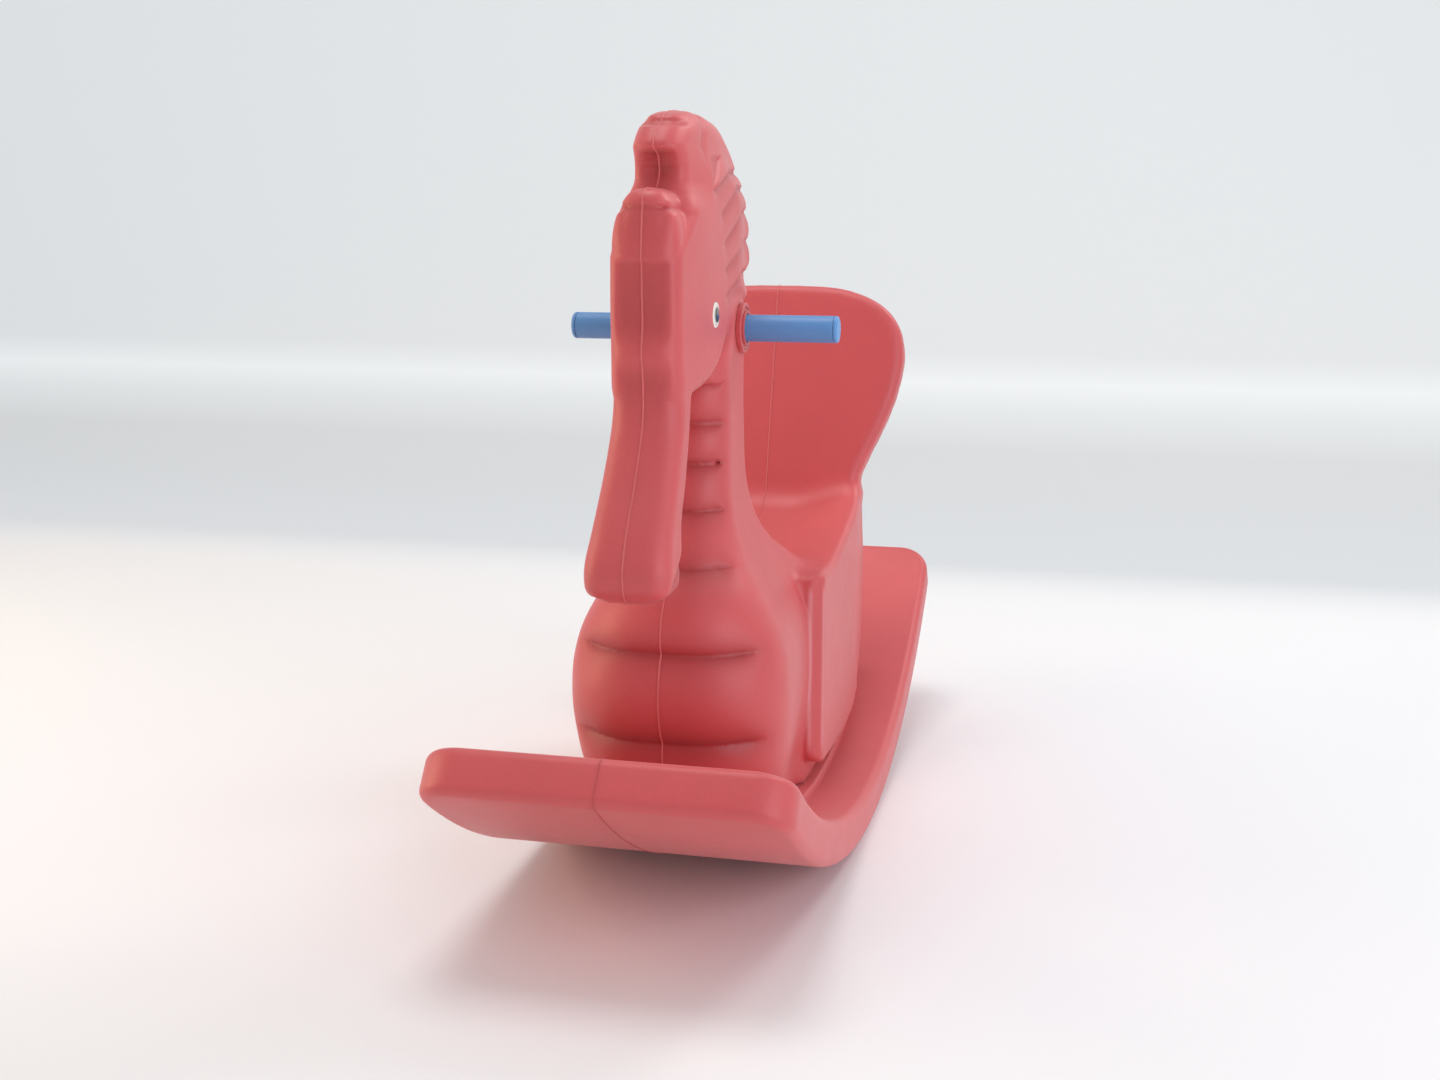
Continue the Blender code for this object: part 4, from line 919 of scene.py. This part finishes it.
def cutBody(skin):
    # seats and holes for the bushes, the eyes, the locating screw and the threaded inserts
    size = fittings
    gap = size["gap"]
    bushLow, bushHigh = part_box("handle_bush_left")
    axis = Vector((0, (bushLow.y + bushHigh.y) / 2, (bushLow.z + bushHigh.z) / 2))
    flange = (bushHigh.z - bushLow.z) / 2 + gap
    tubeLow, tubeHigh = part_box("handlebar_tube")
    sleeve = (tubeHigh.z - tubeLow.z) / 2 + size["barClearance"] + size["bushWall"] + gap
    seatAt = shape["neckHalf"] - size["bushSink"]
    tunnel = bmesh.new()
    across = Matrix.Translation(axis) @ Matrix.Rotation(math.pi / 2, 4, "Y")
    cylinderAlong(tunnel, across, sleeve, -size["sideReach"], size["sideReach"])
    combine(skin, newObject("tunnelCutter", meshFromBmesh("tunnelCutter", tunnel)), "DIFFERENCE")
    seats = bmesh.new()
    for sign in (-1, 1):
        out = Matrix.Translation(axis) @ Matrix.Rotation(sign * math.pi / 2, 4, "Y")
        cylinderAlong(seats, out, flange, seatAt, size["sideReach"])
        cylinderAlong(seats, eyePlace(sign), size["eyeRadius"] + gap, -gap, size["eyeReach"])
    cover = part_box("locating_screw_cover")[0]
    back = Matrix.Translation((0, 0, axis.z)) @ Matrix.Rotation(-math.pi / 2, 4, "X")
    headAt = cover.y - size["pinHeadHeight"] - 2 * gap
    cylinderAlong(seats, back, size["pinHead"] + gap, headAt, size["backReach"], 32)
    for number in (1, 2, 3, 4):
        low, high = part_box(f"threaded_insert_{number}")
        middle = (low + high) / 2
        turn = math.atan2(middle.y, shape["arcCentre"] - middle.z)
        place = Matrix.Translation(middle) @ Matrix.Rotation(turn, 4, "X")
        reach = size["insertLength"] / 2 + gap
        cylinderAlong(seats, place, size["insertRadius"] + gap, -reach - size["insertOpen"], reach, 32)
    combine(skin, newObject("seatCutter", meshFromBmesh("seatCutter", seats)), "DIFFERENCE")
    pins = bmesh.new()
    for sign in (-1, 1):
        cylinderAlong(pins, eyePlace(sign), size["eyeStem"] + gap, -size["eyeStemLength"], size["eyeHoleReach"], 32)
    cylinderAlong(pins, back, size["pinRadius"] + gap, axis.y, size["pinReach"], 32)
    combine(skin, newObject("pinCutter", meshFromBmesh("pinCutter", pins)), "DIFFERENCE")
    return skin


# depths at which the painted shade is complete, and how strong it gets, and where the painted highlight runs down each
# hip's front
paintedShadeAndHighlightMarks = {
    "ribs": 0.0080, "ribShare": 0.95, "ribFront": (-0.020, -0.008), "maneShare": 0.8, "maneSide": (0.004, 0.010),
    "jawShare": 0.7, "jawReach": 0.0030, "head": 0.0105, "mouthBack": (-0.290, -0.275), "mouthUp": (0.280, 0.288),
    "edgeShare": 0.55, "edgeWidth": 0.0022, "edgeLow": (0.075, 0.095), "edgeHigh": (0.236, 0.250),
}


def markMesh(mesh, name, values):
    mesh.attributes.new(name, "FLOAT", "POINT").data.foreach_set("value", values.astype(np.float32))


def markPaintedShadeAndHighlight(mesh):
    # marks the painted shade by how deep each vertex lies in a crease or a hollow, and the painted highlight along the
    # two straight edges down each hip's front
    size = paintedShadeAndHighlightMarks
    points = np.empty(len(mesh.vertices) * 3, np.float32)
    mesh.vertices.foreach_get("co", points)
    x, y, z = points.reshape(-1, 3).astype(float).T
    side = np.abs(x)
    front = np.interp(z, tables["trunk"]["levels"], tables["trunk"]["curve"][:, 1])
    ribs = np.clip(ribDepth(x, y, z) / size["ribs"], 0, 1) * size["ribShare"]
    ribs = ribs * fade(y, front + size["ribFront"][0], front + size["ribFront"][1])
    mane = size["maneShare"] * np.clip(maneDepth(y, z) / maneShape["depth"], 0, 1) * fade(side, *size["maneSide"])
    jaw = size["jawShare"] * np.exp(-polylineDistance(y, z, jawCrease) / size["jawReach"])
    head = np.clip(headDepth(side, y, z) / size["head"], 0, 1)
    mouth = np.clip(mouthDepth(side, y, z) / mouthShape["slit"], 0, 1)
    mouth = mouth * (1 - fade(y, *size["mouthBack"])) * fade(z, *size["mouthUp"])
    markMesh(mesh, "hollow", np.max([ribs, mane, jaw, head, mouth], axis=0))
    # painted highlight along the hip's front edges, standing in for the light they catch
    width = hipShape["chamfer"]
    first = np.hypot(side - shape["hipHalf"] + width, y - hipShape["front"])
    second = np.hypot(side - shape["hipHalf"], y - hipShape["front"] - width)
    edge = size["edgeShare"] * bump(np.minimum(first, second), 0, size["edgeWidth"])
    markMesh(mesh, "edge", edge * fade(z, *size["edgeLow"]) * (1 - fade(z, *size["edgeHigh"])))


def midlinePoints(mesh):
    # the ordered loop of points where a mesh meets the plane x = 0
    bm = bmesh.new()
    bm.from_mesh(mesh)
    cut = bmesh.ops.bisect_plane(
        bm, geom=bm.verts[:] + bm.edges[:] + bm.faces[:], dist=0.00001, plane_co=(0, 0, 0), plane_no=(1, 0, 0),
    )["geom_cut"]
    bm.verts.ensure_lookup_table()
    bm.verts.index_update()
    neighbours = {}
    places = {}
    for edge in (g for g in cut if isinstance(g, bmesh.types.BMEdge)):
        a, b = edge.verts
        neighbours.setdefault(a.index, set()).add(b.index)
        neighbours.setdefault(b.index, set()).add(a.index)
        places[a.index] = a.co.copy()
        places[b.index] = b.co.copy()
    loops = []
    left = set(neighbours)
    while left:
        start = min(left)
        loop = [start]
        left.discard(start)
        while True:
            step = [n for n in neighbours[loop[-1]] if n in left]
            if not step:
                break
            loop.append(step[0])
            left.discard(step[0])
        loops.append([places[i] for i in loop])
    bm.free()
    return max(loops, key=len)


def partingLine(name, points, radius, closed):
    curve = bpy.data.curves.new(name, "CURVE")
    curve.dimensions = "3D"
    curve.bevel_depth = radius
    curve.bevel_resolution = 1
    spline = curve.splines.new("POLY")
    spline.points.add(len(points) - 1)
    for point, place in zip(spline.points, points):
        point.co = (*place, 1.0)
    spline.use_cyclic_u = closed
    shaper = newObject(name + "Curve", curve)
    graph = bpy.context.evaluated_depsgraph_get()
    mesh = bpy.data.meshes.new_from_object(shaper.evaluated_get(graph))
    bpy.data.objects.remove(shaper, do_unlink=True)
    line = newObject(name, mesh)
    line.data.shade_smooth()
    return line


def evenSpacing(points, spacing):
    # the same loop with points at even distances
    p = np.array([tuple(q) for q in points] + [tuple(points[0])])
    lengths = np.concatenate([[0], np.cumsum(np.linalg.norm(np.diff(p, axis=0), axis=1))])
    at = np.arange(0, lengths[-1] - spacing / 2, spacing)
    return [tuple(np.interp(a, lengths, p[:, k]) for k in range(3)) for a in at]


skin = makeBody()
bodyLoop = evenSpacing(midlinePoints(skin.data), shape["seamSpacing"])
cutBody(skin)
shadeSmooth(skin, 62)
markPaintedShadeAndHighlight(skin.data)
finishPiece(skin, bodyPlastic, rockerBody, "red_body", "body_shell")
seam = partingLine("body_parting_line", [(0, y, z) for _, y, z in bodyLoop], shape["seamRadius"], True)
finishPiece(seam, seamHighlightPlastic, rockerBody, "red_body")
print("body made:", len(skin.data.polygons), "faces")

# the rocker moulding
rockerShape = {
    "radius": 0.714, "length": 0.900, "width": 0.300, "thickness": 0.040, "corner": 0.035, "edge": 0.009,
    "plinthHeight": 0.007, "plinthMargin": 0.010, "plinthEdge": 0.0032, "footFront": -0.240, "footBack": 0.262,
    "footFrontCorner": 0.074, "wellRadius": 0.009, "wellDepth": 0.036, "screwHole": 0.0033,
    "rows": (-0.150, 0.180), "halfPitch": 0.048, "ventPlace": 0.250, "ventRadius": 0.0098, "ventDepth": 0.0021,
    "stations": 110, "stationShare": 1.1, "ventHole": 0.0063, "ventHoleDepth": 0.012, "outside": -0.01,
    "screwReach": 0.06, "seamRadius": 0.0007, "seamSink": 0.0006, "seamSinkAway": (0.08, 0.20),
}


def onArc(along, height, across=0.0):
    angle = along / rockerShape["radius"]
    centre = Matrix.Translation((across, 0, shape["arcCentre"]))
    reach = Matrix.Translation((0, 0, height - rockerShape["radius"]))
    return centre @ Matrix.Rotation(angle, 4, "X") @ reach


def slicePlate(bm, place, normal):
    bmesh.ops.bisect_plane(bm, geom=bm.verts[:] + bm.edges[:] + bm.faces[:], plane_co=place, plane_no=normal)


def bevelRound(bm, edges, offset, segments):
    bmesh.ops.bevel(
        bm, geom=edges, offset=offset, offset_type="OFFSET", segments=segments, profile=0.5, affect="EDGES",
        material=-1)


def rolledPlate(name, halfWidth, front, back, low, high, frontCorner, backCorner, edgeLow, edgeHigh):
    # flat plate with round corners and rims, rolled up onto the rocking arc
    bm = bmesh.new()
    bmesh.ops.create_cube(bm, size=1.0)
    bmesh.ops.scale(bm, vec=(2 * halfWidth, back - front, high - low), verts=bm.verts)
    bmesh.ops.translate(bm, vec=(0, (front + back) / 2, (low + high) / 2), verts=bm.verts)
    for end, corner in ((front, frontCorner), (back, backCorner)):
        upright = [e for e in bm.edges if abs(e.verts[0].co.z - e.verts[1].co.z) > (high - low) / 2
                   and abs(e.verts[0].co.y - end) < 1e-6]
        bevelRound(bm, upright, corner, 12)
    for level, edge in ((low, edgeLow), (high, edgeHigh)):
        if edge:
            rim = [e for e in bm.edges if all(abs(v.co.z - level) < 1e-6 for v in e.verts)
                   and abs(e.link_faces[0].normal.dot(e.link_faces[1].normal)) < 0.5]
            bevelRound(bm, rim, edge, 6)
    spacing = rockerShape["length"] * rockerShape["stationShare"] / rockerShape["stations"]
    reach = int(max(abs(front), abs(back)) / spacing) + 1
    for k in range(-reach, reach):
        slicePlate(bm, (0, (k + 0.5) * spacing, 0), (0, 1, 0))
    slicePlate(bm, (0, 0, 0), (1, 0, 0))
    bmesh.ops.triangulate(bm, faces=bm.faces)
    for v in bm.verts:
        v.co = onArc(v.co.y, v.co.z, v.co.x).to_translation()
    return newObject(name, meshFromBmesh(name, bm))


def makeRocker():
    size = rockerShape
    half = math.asin(size["length"] / 2 / size["radius"]) * size["radius"]
    rocker = rolledPlate("rocker_moulding", size["width"] / 2, -half, half, 0.0, size["thickness"],
                         size["corner"], size["corner"], size["edge"], size["edge"])
    margin = size["plinthMargin"]
    plinth = rolledPlate(
        "plinth", shape["footHalf"] + margin, size["footFront"] - margin, size["footBack"] + margin,
        size["thickness"] / 2, size["thickness"] + size["plinthHeight"], size["footFrontCorner"] + margin,
        shape["rumpCorner"] + margin, 0.0, size["plinthEdge"])
    combine(rocker, plinth, "UNION")
    wells = bmesh.new()
    holes = bmesh.new()
    for row in size["rows"]:
        for across in (-1, 1):
            place = onArc(row, 0, across * size["halfPitch"])
            cylinderAlong(wells, place, size["wellRadius"], size["outside"], size["wellDepth"], 40)
            cylinderAlong(holes, place, size["screwHole"], 0.0, size["screwReach"], 24)
    vent = onArc(size["ventPlace"], 0)
    cylinderAlong(wells, vent, size["ventRadius"], size["outside"], size["ventDepth"], 40)
    cylinderAlong(holes, vent, size["ventHole"], size["outside"], size["ventHoleDepth"], 24)
    combine(rocker, newObject("wells", meshFromBmesh("wells", wells)), "DIFFERENCE")
    combine(rocker, newObject("holes", meshFromBmesh("holes", holes)), "DIFFERENCE")
    shadeSmooth(rocker, 40)
    return rocker


def rockerSeam():
    # thin moulding line along the middle: down both end faces and along the underside
    size = rockerShape
    half = math.asin(size["length"] / 2 / size["radius"]) * size["radius"]
    edge = size["edge"]
    outline = roundCorner((half - edge, size["thickness"] - edge), edge, 90, 0, 6)
    outline += roundCorner((half - edge, edge), edge, 0, -90, 6)
    outline += [(a, 0.0) for a in np.linspace(half - edge, edge - half, 120)[1:-1]]
    outline += roundCorner((edge - half, edge), edge, -90, -180, 6)
    outline += roundCorner((edge - half, size["thickness"] - edge), edge, 180, 90, 6)
    points = [tuple(onArc(a, h).to_translation()) for a, h in outline]
    sunk = [(0, y, z + size["seamSink"] * (1 - fade(abs(y), *size["seamSinkAway"]))) for _, y, z in points]
    return partingLine("rocker_parting_line", sunk, size["seamRadius"], False)


rocker = makeRocker()
finishPiece(rocker, redPlastic, rockerBody, "red_rocker", "rocker_base")
rockerLine = rockerSeam()
finishPiece(rockerLine, jointPlastic, rockerBody, "red_rocker")
print("rocker made:", len(rocker.data.polygons), "faces")

# handlebar, caps and bushes
barShape = {"wall": 0.0026, "capLip": 0.004, "capSpigot": 0.016, "capRound": 0.0024, "grooveHalf": 0.0034,
            "grooveDepth": 0.0018, "steps": 96, "gap": 0.0003}


def makeBar():
    size = barShape
    low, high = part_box("handlebar_tube")
    radius = (high.z - low.z) / 2
    half = (high.x - low.x) / 2
    axis = Vector(((low.x + high.x) / 2, (low.y + high.y) / 2, (low.z + high.z) / 2))
    place = Matrix.Translation(axis) @ Matrix.Rotation(math.pi / 2, 4, "Y")
    inner = radius - size["wall"]
    groove = size["grooveHalf"]
    floor = radius - size["grooveDepth"]
    rolled = inner - size["grooveDepth"]
    chamfer = 0.0004
    profile = [(radius - chamfer, half), (radius, half - chamfer)]
    profile += [(radius, groove + 0.001), (floor, groove), (floor, -groove), (radius, -groove - 0.001)]
    profile += [(radius, chamfer - half), (radius - chamfer, -half), (inner, -half), (inner, -groove - 0.003)]
    profile += [(rolled, -groove - 0.001), (rolled, groove + 0.001), (inner, groove + 0.003), (inner, half)]
    tube = spinProfile("handlebar_grip_tube", profile, place, size["steps"], True)
    shadeSmooth(tube, 35)
    finishPiece(tube, bluePlastic, barBody, "blue_bar", "handlebar_tube")
    for tag, sign in (("left", 1), ("right", -1)):
        face = size["capLip"] - size["gap"]
        spigot = inner - size["gap"]
        cap = [(0.0, face + 0.0002), (radius * 0.5, face + 0.0001)]
        cap += roundCorner((radius - size["capRound"], face - size["capRound"]), size["capRound"], 90, 0, 7)
        cap += [(radius, 0.0003), (radius - 0.0003, 0.0), (spigot, 0.0), (spigot, 0.001 - size["capSpigot"])]
        cap += [(spigot - 0.001, -size["capSpigot"]), (0.0, -size["capSpigot"])]
        end = Matrix.Translation((axis.x + sign * (half + size["gap"]), axis.y, axis.z))
        end = end @ Matrix.Rotation(sign * math.pi / 2, 4, "Y")
        piece = spinProfile("handlebar_end_cap_" + tag, cap, end, size["steps"], False)
        shadeSmooth(piece, 35)
        finishPiece(piece, bluePlastic, barBody, "blue_bar", "handlebar_cap_" + tag)


# flange: lip round the bar, dish, raised rim; every measure from the bore, the flange's edge or its top
bushShape = {
    "lipWidth": 0.0030, "rimWidth": 0.0030, "dishDepth": 0.0030, "rimRise": 0.0016, "lipRound": 0.0008,
    "dishRound": 0.0006, "rimInner": 0.0007, "rimOuter": 0.0014,
}


def bushProfile(bore, flange, top, sleeve):
    size = bushShape
    lip, rim = bore + size["lipWidth"], flange - size["rimWidth"]
    dish = top - size["dishDepth"]
    rimTop = dish + size["rimRise"]
    lipRound, dishRound, inner, outer = size["lipRound"], size["dishRound"], size["rimInner"], size["rimOuter"]
    profile = roundCorner((bore + lipRound, top - lipRound), lipRound, 180, 90, 4)
    profile += roundCorner((lip - lipRound, top - lipRound), lipRound, 90, 0, 4)
    profile += [(lip, dish + dishRound), (lip + dishRound, dish), (rim - dishRound, dish), (rim, dish + dishRound)]
    profile += roundCorner((rim + inner, rimTop - inner), inner, 180, 90, 4)
    profile += roundCorner((flange - outer, rimTop - outer), outer, 90, 0, 6)
    wall = bore + fittings["bushWall"]
    return profile + [(flange, 0.0), (wall, 0.0), (wall, -sleeve), (bore, -sleeve)]


def makeBushes():
    tubeLow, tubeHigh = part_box("handlebar_tube")
    bore = (tubeHigh.z - tubeLow.z) / 2 + fittings["barClearance"]
    seatAt = shape["neckHalf"] - fittings["bushSink"] + fittings["gap"]
    for tag, sign in (("left", 1), ("right", -1)):
        low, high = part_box("handle_bush_" + tag)
        top = abs(high.x if sign > 0 else low.x) - seatAt
        sleeve = high.x - low.x - top
        profile = bushProfile(bore, (high.z - low.z) / 2, top, sleeve)
        place = Matrix.Translation((sign * seatAt, (low.y + high.y) / 2, (low.z + high.z) / 2))
        place = place @ Matrix.Rotation(sign * math.pi / 2, 4, "Y")
        bush = spinProfile("neck_bush_" + tag, profile, place, 96, True)
        shadeSmooth(bush, 40)
        finishPiece(bush, bushPlastic, rockerBody, "red_bush", "handle_bush_" + tag)


# white disc with a raised rim, and a glossy domed pupil below its middle
eyeShape = {
    "thickness": 0.0021, "pupil": 0.0066, "pupilHeight": 0.0008, "pupilShift": 0.0018, "rimInner": 0.0030,
    "rimFoot": 0.0022, "rimRise": 0.0001, "rimRound": 0.0014, "rimDrop": 0.0013, "stem": 0.010,
}


def makeEyes():
    size = eyeShape
    radius, stem = fittings["eyeRadius"], fittings["eyeStem"]
    thick, corner = size["thickness"], size["rimRound"]
    white = [(0.0, thick), (radius - size["rimInner"], thick), (radius - size["rimFoot"], thick + size["rimRise"])]
    white += roundCorner((radius - corner, thick - size["rimDrop"]), corner, 90, 0, 6)
    white += [(radius, 0.0), (stem, 0.0), (stem, -size["stem"]), (0.0, -size["stem"])]
    bottom = thick + fittings["gap"]
    turns = np.linspace(0, math.pi / 2, 10)
    dome = [(size["pupil"] * math.sin(a), bottom + size["pupilHeight"] * math.cos(a)) for a in turns]
    dome.append((0.0, bottom))
    for tag, sign in (("left", 1), ("right", -1)):
        place = eyePlace(sign)
        disc = spinProfile("eye_disc_" + tag, white, place, 64, False)
        shadeSmooth(disc, 40)
        finishPiece(disc, whitePlastic, rockerBody, "white_eye", "eye_white_" + tag)
        dotPlace = place @ Matrix.Translation((0, size["pupilShift"], 0))
        dot = spinProfile("eye_dot_" + tag, dome, dotPlace, 64, False)
        shadeSmooth(dot, 40)
        finishPiece(dot, blackPlastic, rockerBody, "black_pupil", "eye_pupil_" + tag)


makeBar()
makeBushes()
makeEyes()
print("handlebar, bushes and eyes made")

# the small fittings keep their CAD shape and take a finish
for name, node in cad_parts.items():
    finish = None
    if "screw_cover" in name:
        finish = bushPlastic
    elif "screw" in name or "washer" in name:
        finish = zincPlate
    elif "insert" in name:
        finish = brassMetal
    elif "plug" in name:
        finish = plugRubber
    if finish:
        node.data.materials.clear()
        node.data.materials.append(finish)

# floor, light and camera
studio = {
    "floor": (0.90, 0.90, 0.90), "floorReach": 9.0, "backdropAt": 3.4, "cove": 1.6, "wallHeight": 4.0,
    "world": (0.82, 0.88, 0.94), "worldStrength": 0.52, "paintedGlowFrom": 0.9, "paintedGlowShare": 0.72,
    # glowing tones along the sweep from near to far: a painted light band in the cove between darker painted zones
    "paintedGlowTones": [
        (0.00, (0.90, 0.91, 0.92)), (0.12, (0.66, 0.69, 0.72)), (0.52, (0.665, 0.685, 0.695)),
        (0.60, (0.79, 0.82, 0.83)), (0.645, (0.91, 0.94, 0.95)), (0.69, (0.775, 0.80, 0.815)),
        (1.00, (0.80, 0.835, 0.85)),
    ],
}


def studioMaterial(name, look):
    # matt surface that holds shadows; far off, camera and glossy rays see it glow with painted light and shade: a
    # darker far floor, a lighter band in the cove and the wall above
    material = bpy.data.materials.new(name)
    material.use_nodes = True
    tree = material.node_tree
    shader = tree.nodes["Principled BSDF"]
    shader.inputs["Base Color"].default_value = (*look["floor"], 1)
    shader.inputs["Roughness"].default_value = 0.9
    shader.inputs["Specular IOR Level"].default_value = 0.1
    coords = addNode(tree, "ShaderNodeTexCoord").outputs["Object"]
    axes = addNode(tree, "ShaderNodeSeparateXYZ")
    tree.links.new(coords, axes.inputs[0])
    depth = addNode(tree, "ShaderNodeMapRange")
    depth.inputs["From Min"].default_value = look["paintedGlowFrom"]
    depth.inputs["From Max"].default_value = look["backdropAt"]
    tree.links.new(axes.outputs["Y"], depth.inputs["Value"])
    paintedBands = rampOf(tree, depth.outputs["Result"], [(at, (*tone, 1)) for at, tone in look["paintedGlowTones"]])
    far = addNode(tree, "ShaderNodeMapRange", interpolation_type="SMOOTHSTEP")
    far.inputs["From Max"].default_value = 0.14
    far.inputs["To Max"].default_value = look["paintedGlowShare"]
    tree.links.new(depth.outputs["Result"], far.inputs["Value"])
    paintedGlow = addNode(tree, "ShaderNodeEmission")
    tree.links.new(paintedBands, paintedGlow.inputs["Color"])
    path = addNode(tree, "ShaderNodeLightPath")
    toward = addNode(tree, "ShaderNodeMath", operation="MAXIMUM")
    tree.links.new(path.outputs["Is Camera Ray"], toward.inputs[0])
    tree.links.new(path.outputs["Is Glossy Ray"], toward.inputs[1])
    share = addNode(tree, "ShaderNodeMath", operation="MULTIPLY")
    tree.links.new(toward.outputs[0], share.inputs[0])
    tree.links.new(far.outputs["Result"], share.inputs[1])
    mix = addNode(tree, "ShaderNodeMixShader")
    tree.links.new(share.outputs[0], mix.inputs["Fac"])
    tree.links.new(shader.outputs["BSDF"], mix.inputs[1])
    tree.links.new(paintedGlow.outputs["Emission"], mix.inputs[2])
    tree.links.new(mix.outputs["Shader"], tree.nodes["Material Output"].inputs["Surface"])
    return material


def makeStage():
    # pale floor that sweeps up into a pale wall behind
    size = studio
    bm = bmesh.new()
    reach, back, cove = size["floorReach"], size["backdropAt"], size["cove"]
    profile = [(-reach, 0.0), (back - cove, 0.0)]
    profile += [(back - cove + cove * math.sin(a), cove - cove * math.cos(a))
                for a in np.linspace(0, math.pi / 2, 24)[1:]]
    profile += [(back, size["wallHeight"])]
    verts = [bm.verts.new((-reach, y, z)) for y, z in profile]
    edges = [bm.edges.new(pair) for pair in zip(verts, verts[1:])]
    made = bmesh.ops.extrude_edge_only(bm, edges=edges)["geom"]
    moved = [g for g in made if isinstance(g, bmesh.types.BMVert)]
    bmesh.ops.translate(bm, verts=moved, vec=(2 * reach, 0, 0))
    for face in bm.faces:
        face.smooth = True
    mesh = bpy.data.meshes.new("studio_sweep")
    bm.to_mesh(mesh)
    bm.free()
    sweep = newObject("studio_sweep", mesh)
    sweep.data.materials.append(studioMaterial("paleSweep", size))


# name, place, size in metres, power in watts, colour; all of them point at the middle of the piece
lamps = [
    ("windowRight", (2.4, -1.4, 1.0), (1.8, 1.8), 30, (0.93, 0.92, 1.0)),
    ("highBehind", (1.5, 1.7, 2.5), (1.0, 1.0), 22, (1.0, 0.98, 0.97)),
    ("warmLeft", (-2.3, -0.5, 0.8), (1.2, 1.6), 24, (1.0, 0.70, 0.44)),
    ("softAbove", (-0.3, 0.1, 3.4), (1.6, 1.4), 36, (1.0, 0.97, 0.95)),
]
lampTarget = (0, 0, 0.32)


def addLamp(name, place, size, power, colour):
    data = bpy.data.lights.new(name, "AREA")
    data.shape = "RECTANGLE"
    data.size, data.size_y = size
    data.energy = power
    data.color = colour
    lamp = bpy.data.objects.new(name, data)
    lamp.location = place
    lamp.rotation_euler = (Vector(lampTarget) - Vector(place)).to_track_quat("-Z", "Y").to_euler()
    scene.collection.objects.link(lamp)


def makeLights():
    world = bpy.data.worlds.new("studioWorld")
    scene.world = world
    world.use_nodes = True
    background = world.node_tree.nodes["Background"]
    background.inputs["Color"].default_value = (*studio["world"], 1)
    background.inputs["Strength"].default_value = studio["worldStrength"]
    for lamp in lamps:
        addLamp(*lamp)


# about 0.6 m above the floor, in front of the piece and to its right, looking a little down; angles in degrees
cameraShape = {"place": (0.3720, -1.5901, 0.6018), "down": 11.369, "turn": 13.490, "lens": 42.286, "sensor": 36.0}


def makeCamera():
    size = cameraShape
    data = bpy.data.cameras.new("camera")
    data.sensor_width = size["sensor"]
    data.lens = size["lens"]
    camera = bpy.data.objects.new("camera", data)
    camera.location = size["place"]
    camera.rotation_euler = (math.radians(90 - size["down"]), 0, math.radians(size["turn"]))
    scene.collection.objects.link(camera)
    scene.camera = camera


makeStage()
makeLights()
makeCamera()
scene.view_settings.view_transform = "Standard"
print("studio made")
